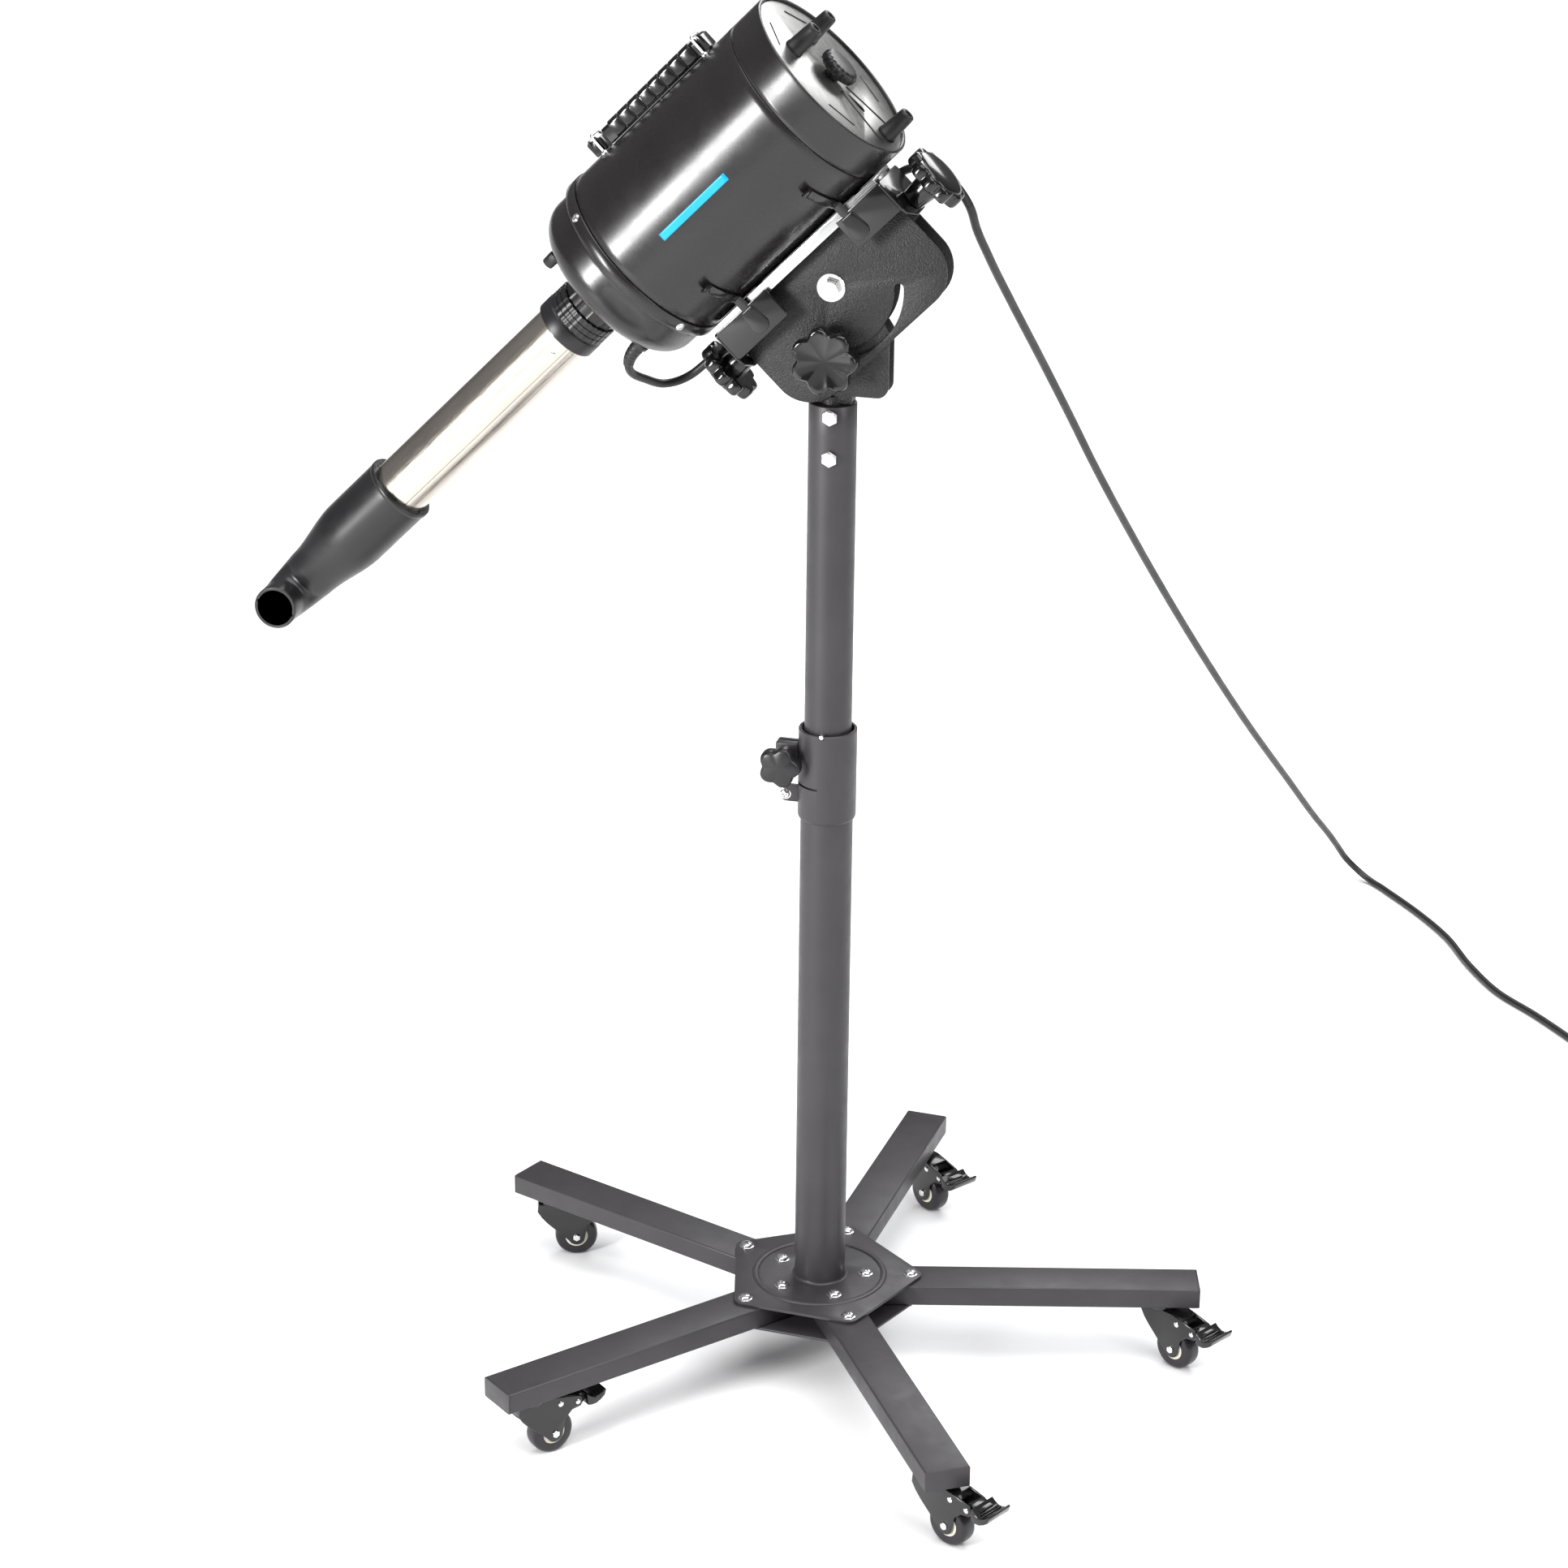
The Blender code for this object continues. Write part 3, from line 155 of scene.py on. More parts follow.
def coordinates(tree, scale=(1, 1, 1)):
    """Object coordinates, stretched by scale."""
    source = tree.nodes.new("ShaderNodeTexCoord")
    mapping = tree.nodes.new("ShaderNodeMapping")
    mapping.inputs["Scale"].default_value = scale
    tree.links.new(source.outputs["Object"], mapping.inputs["Vector"])
    return mapping.outputs["Vector"]


def noise_value(tree, vector, scale, detail=3.0, rough=0.55):
    node = tree.nodes.new("ShaderNodeTexNoise")
    node.inputs["Scale"].default_value = scale
    node.inputs["Detail"].default_value = detail
    node.inputs["Roughness"].default_value = rough
    tree.links.new(vector, node.inputs["Vector"])
    return node.outputs["Fac"]


def ranged(tree, value, low, high, from_low=0.3, from_high=0.7):
    node = tree.nodes.new("ShaderNodeMapRange")
    node.inputs["From Min"].default_value = from_low
    node.inputs["From Max"].default_value = from_high
    node.inputs["To Min"].default_value = low
    node.inputs["To Max"].default_value = high
    tree.links.new(value, node.inputs["Value"])
    return node.outputs["Result"]


def colour_between(tree, value, first, second, low=0.35, high=0.65):
    ramp = tree.nodes.new("ShaderNodeValToRGB")
    ramp.color_ramp.elements[0].position = low
    ramp.color_ramp.elements[0].color = (*first, 1.0)
    ramp.color_ramp.elements[1].position = high
    ramp.color_ramp.elements[1].color = (*second, 1.0)
    tree.links.new(value, ramp.inputs["Fac"])
    return ramp.outputs["Color"]


def bumped(tree, shader, height, strength, distance):
    bump = tree.nodes.new("ShaderNodeBump")
    bump.inputs["Strength"].default_value = strength
    bump.inputs["Distance"].default_value = distance
    tree.links.new(height, bump.inputs["Height"])
    tree.links.new(bump.outputs["Normal"], shader.inputs["Normal"])


def coated(name, colour, roughness, grain, strength, mottle=0.25, coat=0.0, metallic=0.0, depth=0.0002):
    """A paint or moulding: mottled colour, uneven gloss and a fine grain, grain given in cells a metre."""
    mat, tree, shader = node_material(name, colour, roughness, metallic)
    vector = coordinates(tree)
    darker = tuple(c * (1 - mottle) for c in colour)
    lighter = tuple(c * (1 + mottle) for c in colour)
    cloud = noise_value(tree, vector, 14.0, 4.0)
    tree.links.new(colour_between(tree, cloud, darker, lighter), shader.inputs["Base Color"])
    smear = noise_value(tree, vector, 38.0, 5.0, 0.65)
    tree.links.new(ranged(tree, smear, roughness * 0.85, roughness * 1.2), shader.inputs["Roughness"])
    bumped(tree, shader, noise_value(tree, vector, grain, 2.0), strength, depth)
    shader.inputs["Coat Weight"].default_value = coat
    shader.inputs["Coat Roughness"].default_value = 0.12
    return mat


def brushed(name, colour, roughness, stretch, strength=0.12, tint=0.12):
    """A bright metal with fine lines along the axis that isn't stretched."""
    mat, tree, shader = node_material(name, colour, roughness, 1.0)
    vector = coordinates(tree, stretch)
    lines = noise_value(tree, vector, 60.0, 3.0, 0.6)
    cloud = noise_value(tree, coordinates(tree), 9.0, 3.0)
    dull = tuple(c * (1 - tint) for c in colour)
    tree.links.new(colour_between(tree, cloud, dull, colour), shader.inputs["Base Color"])
    tree.links.new(ranged(tree, lines, roughness * 0.75, roughness * 1.35), shader.inputs["Roughness"])
    bumped(tree, shader, lines, strength, 0.0001)
    return mat


def foam(name):
    mat, tree, shader = node_material(name, (0.05, 0.05, 0.055), 0.95)
    cells = tree.nodes.new("ShaderNodeTexVoronoi")
    cells.inputs["Scale"].default_value = 700.0
    tree.links.new(coordinates(tree), cells.inputs["Vector"])
    bumped(tree, shader, cells.outputs["Distance"], 0.8, 0.0008)
    return mat


LOOKS = {
    "black_steel": coated("stand_paint", (0.034, 0.031, 0.035), 0.42, 900, 0.06, 0.10),
    "textured_black": coated("wrinkle_paint", (0.011, 0.0095, 0.010), 0.42, 620, 1.0, 0.30, depth=0.0009),
    "satin_black": coated("canister_paint", (0.0105, 0.0092, 0.0094), 0.27, 1400, 0.04, 0.12, coat=0.12),
    "gloss_black": coated("gloss_moulding", (0.0045, 0.0042, 0.0045), 0.15, 500, 0.04, 0.15, coat=0.25),
    "black_plastic": coated("plain_moulding", (0.0095, 0.0088, 0.0098), 0.34, 1600, 0.10, 0.15),
    "rubber_black": coated("rubber", (0.0090, 0.0085, 0.0095), 0.42, 1800, 0.12, 0.2),
    "tyre_black": coated("tyre", (0.012, 0.009, 0.012), 0.30, 1200, 0.10, 0.2),
    "cream": coated("wheel_core", (0.68, 0.63, 0.54), 0.35, 900, 0.08, 0.08),
    "strip": coated("cyan_strip", (0.0, 0.36, 0.72), 0.30, 900, 0.03, 0.04),
    "stainless": brushed("stainless", (0.66, 0.61, 0.545), 0.20, (1, 22, 22)),
    "bright_metal": brushed("bright_metal", (0.80, 0.80, 0.80), 0.24, (1, 18, 18)),
    "zinc_bolt": brushed("zinc", (0.86, 0.86, 0.85), 0.17, (4, 4, 4), 0.2, 0.2),
    "satin_grey": brushed("satin_lid", (0.36, 0.36, 0.355), 0.33, (14, 14, 1)),
    "filter_foam": foam("filter_foam"),
    "motor_grey": coated("motor_casting", (0.30, 0.30, 0.31), 0.5, 300, 0.5, 0.2, metallic=0.6),
}


# ---- Outlines ----------------------------------------------------------------
def arc(centre, radius, start, end, count):
    """Points on an arc, angles in degrees."""
    points = []
    for index in range(count):
        angle = math.radians(start + (end - start) * index / max(1, count - 1))
        points.append((centre[0] + radius * math.cos(angle), centre[1] + radius * math.sin(angle)))
    return points


def circle(radius, centre=(0, 0), count=72):
    return arc(centre, radius, 0, 360 * (1 - 1 / count), count)


def rounded(corners, steps=6):
    """An outline from (x, y, fillet radius) corners."""
    points = []
    for index, (x, y, radius) in enumerate(corners):
        if radius == 0.0:
            points.append((x, y))
            continue
        here = Vector((x, y))
        before = (Vector(corners[index - 1][:2]) - here).normalized()
        after = (Vector(corners[(index + 1) % len(corners)][:2]) - here).normalized()
        half = before.angle(after) / 2
        reach = radius / math.tan(half)
        centre = here + (before + after).normalized() * radius / math.sin(half)
        first = here + before * reach - centre
        sweep = first.angle_signed(here + after * reach - centre)
        for step in range(steps + 1):
            spoke = first.copy()
            spoke.rotate(Matrix.Rotation(-sweep * step / steps, 2))
            points.append(tuple(centre + spoke))
    return points


def lobed(radius, depth, lobes, per_lobe=18, soft=0.12):
    """A star-knob outline with round lobes and narrow, slightly softened valleys."""
    points = []
    for index in range(lobes * per_lobe):
        angle = math.tau * index / (lobes * per_lobe)
        wave = math.sqrt(math.cos(lobes * angle / 2) ** 2 + soft ** 2) / math.sqrt(1 + soft ** 2)
        reach = radius - depth * (1 - wave)
        points.append((reach * math.cos(angle), reach * math.sin(angle)))
    return points


# ---- Meshes ------------------------------------------------------------------
def to_mesh(bm):
    bmesh.ops.recalc_face_normals(bm, faces=bm.faces)
    mesh = bpy.data.meshes.new("shape")
    bm.to_mesh(mesh)
    bm.free()
    return mesh


def eased(bm, width, segments=2, least=40):
    """Rounds the edges that turn by more than the least angle, in degrees."""
    if width <= 0:
        return
    sharp = [edge for edge in bm.edges
             if len(edge.link_faces) == 2 and edge.calc_face_angle(0.0) > math.radians(least)]
    bmesh.ops.bevel(bm, geom=sharp, offset=width, segments=segments, affect="EDGES",
                    profile=0.5, clamp_overlap=True, loop_slide=True)


def block(low, high, edge=0.0004, segments=2):
    bm = bmesh.new()
    bmesh.ops.create_cube(bm, size=1.0)
    low, high = Vector(low), Vector(high)
    bmesh.ops.scale(bm, vec=high - low, verts=bm.verts)
    bmesh.ops.translate(bm, vec=(high + low) / 2, verts=bm.verts)
    eased(bm, edge, segments)
    return to_mesh(bm)


def lathe(profile, closed=False, sides=96, ripple=None):
    """Turns (x, radius) points about the X axis. ripple(x, angle) is added to the radius."""
    bm = bmesh.new()
    rings = []
    for x, radius in profile:
        if radius < 1e-6:
            rings.append([bm.verts.new((x, 0, 0))] * sides)
            continue
        ring = []
        for index in range(sides):
            angle = math.tau * index / sides
            reach = radius + (ripple(x, angle) if ripple else 0.0)
            ring.append(bm.verts.new((x, reach * math.sin(angle), reach * math.cos(angle))))
        rings.append(ring)
    pairs = list(zip(rings, rings[1:]))
    if closed:
        pairs.append((rings[-1], rings[0]))
    for first, second in pairs:
        for index in range(sides):
            after = (index + 1) % sides
            corners = [first[index], first[after], second[after], second[index]]
            corners = list(dict.fromkeys(corners))
            if len(corners) > 2:
                bm.faces.new(corners)
    return to_mesh(bm)


def rod(radius, start, end, edge=0.0004, sides=48, end_radius=None):
    """A solid cylinder, cone or prism between two points, with rounded rims."""
    start, end = Vector(start), Vector(end)
    bm = bmesh.new()
    bmesh.ops.create_cone(bm, cap_ends=True, segments=sides, radius1=radius,
                          radius2=radius if end_radius is None else end_radius,
                          depth=(end - start).length)
    eased(bm, edge, 3, 50)
    turn = (end - start).to_track_quat("Z", "Y").to_matrix().to_4x4()
    bmesh.ops.transform(bm, matrix=Matrix.Translation((start + end) / 2) @ turn, verts=bm.verts)
    return to_mesh(bm)


def plate(outlines, low, high, plane="XY", edge=0.0004, segments=2):
    """Outlines, the first outside and the rest holes, extruded between two heights."""
    curve = bpy.data.curves.new("plate", "CURVE")
    curve.dimensions = "2D"
    curve.fill_mode = "BOTH"
    curve.extrude = (high - low) / 2
    for outline in outlines:
        spline = curve.splines.new("POLY")
        spline.points.add(len(outline) - 1)
        spline.use_cyclic_u = True
        for point, (x, y) in zip(spline.points, outline):
            point.co = (x, y, 0.0, 1.0)
    holder = bpy.data.objects.new("plate", curve)
    bpy.context.scene.collection.objects.link(holder)
    bpy.context.view_layer.update()
    flat = bpy.data.meshes.new_from_object(holder.evaluated_get(bpy.context.evaluated_depsgraph_get()))
    bpy.data.objects.remove(holder, do_unlink=True)
    bm = bmesh.new()
    bm.from_mesh(flat)
    bmesh.ops.remove_doubles(bm, verts=bm.verts, dist=1e-6)
    bmesh.ops.dissolve_limit(bm, angle_limit=0.01, verts=bm.verts, edges=bm.edges)
    eased(bm, edge, segments, 50)
    middle = (low + high) / 2
    if plane == "XZ":
        turn = Matrix.Translation((0, middle, 0)) @ Matrix.Rotation(math.radians(90), 4, "X")
    elif plane == "YZ":
        swap = Matrix(((0, 0, 1, 0), (1, 0, 0, 0), (0, 1, 0, 0), (0, 0, 0, 1)))
        turn = Matrix.Translation((middle, 0, 0)) @ swap
    else:
        turn = Matrix.Translation((0, 0, middle))
    bmesh.ops.transform(bm, matrix=turn, verts=bm.verts)
    return to_mesh(bm)


def sweep(points, radii, sides=24, caps=True):
    """A tube along points, with one radius or a radius for each point."""
    points = [Vector(p) for p in points]
    if not hasattr(radii, "__len__"):
        radii = [radii] * len(points)
    bm = bmesh.new()
    rings = []
    along = (points[1] - points[0]).normalized()
    side = along.orthogonal().normalized()
    for index, (point, radius) in enumerate(zip(points, radii)):
        before = points[max(0, index - 1)]
        after = points[min(len(points) - 1, index + 1)]
        along = (after - before).normalized()
        side = (side - along * side.dot(along)).normalized()
        other = along.cross(side)
        ring = []
        for step in range(sides):
            angle = math.tau * step / sides
            ring.append(bm.verts.new(point + radius * (math.cos(angle) * side + math.sin(angle) * other)))
        rings.append(ring)
    for first, second in zip(rings, rings[1:]):
        for step in range(sides):
            after = (step + 1) % sides
            bm.faces.new((first[step], first[after], second[after], second[step]))
    if caps:
        bm.faces.new(rings[0])
        bm.faces.new(rings[-1])
    return to_mesh(bm)


def placed(mesh, matrix):
    mesh.transform(matrix)
    return mesh


def repeated(make, matrices):
    """The same mesh made once and set down at each place."""
    first = make()
    copies = []
    for matrix in matrices:
        twin = first.copy()
        twin.transform(matrix)
        copies.append(twin)
    return copies


def piece(name, meshes, look, body, matrix=ROW, nodes=(), smooth=50):
    """Joins meshes into one object with its material, on a CAD body if one is given."""
    bm = bmesh.new()
    for mesh in meshes:
        bm.from_mesh(mesh)
    joined = bpy.data.meshes.new(name)
    bm.to_mesh(joined)
    bm.free()
    joined.materials.append(LOOKS[look])
    joined.shade_smooth()
    joined.set_sharp_from_angle(angle=math.radians(smooth))
    obj = bpy.data.objects.new(name, joined)
    bpy.context.scene.collection.objects.link(obj)
    obj.matrix_world = matrix
    if body:
        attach(obj, body)
    if nodes:
        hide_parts(*nodes)
    return obj


def smooth_route(route, steps):
    """Points on a smooth curve through the route, with the same number on each leg."""
    pts = [Vector(p) for p in route]
    pts = [2 * pts[0] - pts[1]] + pts + [2 * pts[-1] - pts[-2]]
    line = []
    for a, b, c, d in zip(pts, pts[1:], pts[2:], pts[3:]):
        leg = (c - b).length
        leave = ((b - a) / (b - a).length * leg + (c - b) * (b - a).length / leg) * leg
        leave = leave / ((b - a).length + leg)
        arrive = ((c - b) * (d - c).length / leg + (d - c) / (d - c).length * leg) * leg
        arrive = arrive / (leg + (d - c).length)
        for step in range(steps):
            t = step / steps
            line.append((2 * t ** 3 - 3 * t ** 2 + 1) * b + (t ** 3 - 2 * t ** 2 + t) * leave
                        + (3 * t ** 2 - 2 * t ** 3) * c + (t ** 3 - t ** 2) * arrive)
    line.append(pts[-2])
    return line


# ---- Cord --------------------------------------------------------------------
BOOT_ROUTE = [
    (-0.1895, -0.0360, 0.0915), (-0.1996, -0.0350, 0.0907), (-0.2085, -0.0320, 0.0885),
    (-0.2162, -0.0273, 0.0850),
]
LEAD_ROUTE = [
    (-0.2171, -0.0266, 0.0845), (-0.2220, -0.0212, 0.0804), (-0.2257, -0.0140, 0.0751),
    (-0.2270, -0.0063, 0.0694), (-0.2270, 0.0053, 0.0607), (-0.2270, 0.0169, 0.0521),
    (-0.2257, 0.0246, 0.0463), (-0.2220, 0.0318, 0.0410), (-0.2162, 0.0379, 0.0364),
    (-0.2085, 0.0426, 0.0329), (-0.1996, 0.0456, 0.0307), (-0.1900, 0.0466, 0.0299),
    (-0.1650, 0.0462, 0.0295), (-0.1350, 0.0455, 0.0290), (-0.1000, 0.0449, 0.0290),
    (-0.0500, 0.0449, 0.0290), (0.0000, 0.0449, 0.0290), (0.0400, 0.0449, 0.0295),
    (0.0700, 0.0449, 0.0325), (0.0900, 0.0460, 0.0355), (0.1080, 0.0480, 0.0370),
    (0.1250, 0.0505, 0.0330), (0.1380, 0.0535, 0.0220), (0.1450, 0.0570, 0.0065),
    (0.1460, 0.0620, -0.0110), (0.1420, 0.0674, -0.0308),
    (0.1400, 0.0695, -0.0361),
]
SPAN_ROUTE = [
    (0.1240, 0.0695, 1.3290), (0.1257, 0.0721, 1.3239), (0.1290, 0.0860, 1.3020), (0.1370, 0.1180, 1.2640),
    (0.1519, 0.1951, 1.1900),
]
DROP_ROUTE = [
    (0.1519, 0.1951, 1.1900), (0.1727, 0.2960, 1.0940), (0.1893, 0.3763, 1.0160),
    (0.2035, 0.4449, 0.9480), (0.2328, 0.5869, 0.8150), (0.2615, 0.7259, 0.6900),
    (0.2957, 0.8914, 0.5470), (0.3282, 1.0491, 0.4160), (0.3713, 1.2577, 0.2510),
    (0.3972, 1.3831, 0.1520), (0.4150, 1.4600, 0.0920), (0.4273, 1.5089, 0.0496),
    (0.4312, 1.5175, 0.0396), (0.4383, 1.5229, 0.0291), (0.4480, 1.5245, 0.0195),
    (0.4591, 1.5220, 0.0116), (0.4703, 1.5159, 0.0066), (0.4804, 1.5067, 0.0048),
    (0.5080, 1.4730, 0.0048), (0.5540, 1.4120, 0.0048), (0.5980, 1.3420, 0.0048),
    (0.6380, 1.2520, 0.0048), (0.6840, 1.1720, 0.0048), (0.7370, 1.1140, 0.0048),
    (0.7840, 1.0560, 0.0048), (0.8220, 1.0060, 0.0048), (0.8430, 0.9710, 0.0048),
    (0.8518, 0.9548, 0.0048),
]


def coil_route():
    """Two turns one on the other, from the floor run's tangent to the plug's."""
    start, end = 208.5, 990.0
    climb_start, climb_end = 488.0, 572.0
    low, high = CORD_RADIUS + GAP, PLUG_Z
    points = []
    count = 130
    for index in range(count + 1):
        angle = start + (end - start) * index / count
        share = min(1.0, max(0.0, (angle - climb_start) / (climb_end - climb_start)))
        height = low + (high - low) * share * share * (3 - 2 * share)
        x, y = arc(COIL_CENTRE, COIL_RADIUS, angle, angle, 1)[0]
        points.append(Vector((x, y, height)))
    return points


def add_cords():
    lead = [HEAD @ point for point in smooth_route(LEAD_ROUTE, 6)]
    obj = piece("cord_along_the_cradle", [sweep(lead, CORD_RADIUS)], "rubber_black", "head", ROW,
                ["cord_lead"])
    span = smooth_route(SPAN_ROUTE, 10)
    obj = piece("cord_below_the_cradle", [sweep(span, CORD_RADIUS)], "rubber_black", None, ROW, ["cord_span"])
    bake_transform(obj)
    drop = smooth_route(DROP_ROUTE, 6)
    for point in drop:
        point.z = max(point.z, CORD_RADIUS + GAP)
    drop += coil_route()
    drop.append(Vector((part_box("plug")[0].x + 0.0005, drop[-1].y, PLUG_Z)))
    obj = piece("cord_to_the_plug", [sweep(drop, CORD_RADIUS)], "rubber_black", None, ROW,
                ["cord_drop", "cord_coil"])
    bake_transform(obj)
    add_plug()


def add_plug():
    """A moulded plug: a ribbed boot, a rounded grip and bright blades."""
    low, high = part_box("plug")
    y = (low.y + high.y) / 2
    start = low.x
    ribs = []
    for index in range(5):
        x = start + 0.004 * index
        radius = 0.0048 + 0.0037 * index / 5
        ribs.append(rod(radius, (x, y, PLUG_Z), (x + 0.0027, y, PLUG_Z), 0.0005, 32, radius + 0.0004))
    core = rod(0.0044, (start, y, PLUG_Z), (start + 0.024, y, PLUG_Z), 0.0002, 32, 0.0078)
    grip = block((start + 0.020, y - 0.014, 0.0010), (start + 0.048, y + 0.014, 0.0266), 0.0035, 4)
    ridges = []
    for index in range(4):
        x = start + 0.025 + 0.005 * index
        ridges.append(block((x, y - 0.0145, 0.005), (x + 0.0022, y + 0.0145, 0.0225), 0.0006))
    plug = piece("plug_body", [core, grip] + ribs + ridges, "black_plastic", "stand", ROW, ["plug"])
    blades = []
    for side in (-1, 1):
        middle = y + side * 0.0063
        blades.append(block((start + 0.047, middle - 0.0008, PLUG_Z),
                            (start + 0.066, middle + 0.0008, PLUG_Z + 0.006), 0.0003))
    blades.append(rod(0.0024, (start + 0.047, y, 0.0078), (start + 0.067, y, 0.0078), 0.001, 32))
    pins = piece("plug_pins", blades, "zinc_bolt", "stand")
    pins.parent = plug
    pins.matrix_parent_inverse = plug.matrix_world.inverted()
    return plug


add_cords()


# ---- Fasteners, made along +X with their seat at zero -------------------------
def cross_recess(radius, depth, face):
    """Cutters for a cross-shaped driver recess in a face at the given height."""
    width = radius * 0.17
    arms = []
    for turn in (0, 90):
        arm = block((face - depth, -radius * 0.52, -width), (face + depth, radius * 0.52, width), 0)
        arms.append(placed(arm, Matrix.Rotation(math.radians(turn), 4, "X")))
    return arms


def carved(mesh, cutters):
    """The mesh less each cutter, by Boolean modifiers applied at once."""
    holder = bpy.data.objects.new("carved", mesh)
    bpy.context.scene.collection.objects.link(holder)
    tools = []
    for cutter in cutters:
        tool = bpy.data.objects.new("cutter", cutter)
        bpy.context.scene.collection.objects.link(tool)
        tools.append(tool)
        cut = holder.modifiers.new("cut", "BOOLEAN")
        cut.operation = "DIFFERENCE"
        cut.solver = "EXACT"
        cut.object = tool
    bpy.context.view_layer.update()
    result = bpy.data.meshes.new_from_object(holder.evaluated_get(bpy.context.evaluated_depsgraph_get()))
    for obj in tools + [holder]:
        bpy.data.objects.remove(obj, do_unlink=True)
    return result


def pan_head(radius, height, flange=0.0):
    """A domed screw head with a cross recess, and a washer under it if flange is given."""
    profile = [(0.0, 0.0), (0.0, radius * 0.97), (height * 0.25, radius)]
    for degrees in range(15, 91, 15):
        angle = math.radians(degrees)
        profile.append((height * (0.25 + 0.75 * math.sin(angle)), radius * math.cos(angle)))
    head = carved(lathe(profile, sides=40), cross_recess(radius, height * 0.55, height))
    if not flange:
        return head
    washer = lathe([(0.0, 0.0), (0.0, flange), (0.0005, flange), (0.0009, flange - 0.0005), (0.0009, 0.0)])
    return merged([placed(head, Matrix.Translation((0.0008, 0, 0))), washer])


def hex_head(radius, height, washer=0.0):
    """A hexagon head with rounded corners, on a washer."""
    head = rod(radius, (0.0, 0, 0), (height, 0, 0), 0.0006, 6)
    cap = lathe([(height - 0.0004, 0.0), (height - 0.0004, radius * 0.80), (height + 0.0003, radius * 0.74),
                 (height + 0.0004, 0.0)], sides=48)
    parts = [head, cap]
    if washer:
        parts = [placed(part, Matrix.Translation((0.0012, 0, 0))) for part in parts]
        parts.append(lathe([(0.0, 0.0), (0.0, washer), (0.0010, washer), (0.0014, washer - 0.0004),
                            (0.0014, 0.0)]))
    return merged(parts)


def merged(meshes):
    bm = bmesh.new()
    for mesh in meshes:
        bm.from_mesh(mesh)
    mesh = bpy.data.meshes.new("merged")
    bm.to_mesh(mesh)
    bm.free()
    return mesh


# ---- Stand -------------------------------------------------------------------
def leg_angle(index):
    return LEG_TURN + index * math.tau / LEG_COUNT


def at_angle(radius, angle, z):
    return Matrix.Translation((radius * math.cos(angle), radius * math.sin(angle), z))


def hub_outline():
    outline = []
    for index in range(LEG_COUNT):
        angle = leg_angle(index)
        centre = (HUB_BOLT_CIRCLE * math.cos(angle), HUB_BOLT_CIRCLE * math.sin(angle))
        outline += arc(centre, HUB_CORNER, math.degrees(angle) - 36, math.degrees(angle) + 36, 13)
    return outline


def add_hub():
    face = HUB_FACE
    top = plate([hub_outline(), circle(LOWER_RADIUS + GAP)], LEG_HIGH + GAP, face, edge=0.0008, segments=3)
    bead = []
    for index in range(13):
        angle = math.pi * index / 12
        bead.append((0.0018 * math.sin(angle) - 0.0001, 0.0726 + 0.0036 * math.cos(angle)))
    bead = placed(lathe(bead, closed=True, sides=160), Matrix.Translation((0, 0, face)) @ UPRIGHT)
    piece("hub_top", [top, bead], "black_steel", "stand", ROW, ["hub_top_plate"])
    low = LEG_LOW - GAP
    bottom = plate([hub_outline()], low - HUB_THICK, low, edge=0.0008, segments=3)
    piece("hub_bottom", [bottom], "black_steel", "stand", ROW, ["hub_bottom_plate"])
    heads, shanks = [], []
    for index in range(LEG_COUNT):
        for radius in (HUB_BOLT_CIRCLE, INNER_BOLT_CIRCLE):
            spin = Matrix.Rotation(0.9 * index + 20 * radius, 4, "X")
            heads.append(at_angle(radius, leg_angle(index), face) @ UPRIGHT @ spin)
        shanks.append(at_angle(HUB_BOLT_CIRCLE, leg_angle(index), low - HUB_THICK))
    piece("hub_bolts", repeated(lambda: pan_head(0.0068, 0.0040, 0.0086), heads), "zinc_bolt", "stand")
    piece("hub_bolt_ends", repeated(bolt_end, shanks), "zinc_bolt", "stand")


def bolt_end():
    """The threaded end and nut of a bolt, below a plate."""
    nut = rod(0.0060, (0, 0, 0), (0, 0, -0.0045), 0.0004, 6)
    thread = [(0.0, 0.0)]
    for index in range(9):
        thread += [(0.0012 * index, 0.0028), (0.0012 * index + 0.0006, 0.0031)]
    thread += [(0.0108, 0.0026), (0.0112, 0.0)]
    shank = placed(lathe(thread, sides=24), Matrix.Rotation(math.radians(90), 4, "Y"))
    return merged([nut, shank])


def leg_mesh():
    """A rectangular tube with rounded long edges and a welded end plate."""
    half = LEG_HALF
    section = rounded([(-half, LEG_LOW, 0.0022), (half, LEG_LOW, 0.0022), (half, LEG_HIGH, 0.0022),
                       (-half, LEG_HIGH, 0.0022)], 5)
    inner = rounded([(-half + 0.002, LEG_LOW + 0.002, 0.001), (half - 0.002, LEG_LOW + 0.002, 0.001),
                     (half - 0.002, LEG_HIGH - 0.002, 0.001), (-half + 0.002, LEG_HIGH - 0.002, 0.001)], 3)
    body = plate([section, inner], LEG_START, LEG_CAP, "YZ", 0.0003)
    cap = plate([section], LEG_CAP, LEG_REACH, "YZ", 0.0006, 3)
    return merged([body, cap])


def add_legs():
    for index in range(LEG_COUNT):
        turn = Matrix.Rotation(leg_angle(index), 4, "Z")
        piece(f"leg_tube_{index + 1}", [leg_mesh()], "black_steel", "stand", turn, [f"leg_{index + 1}"])


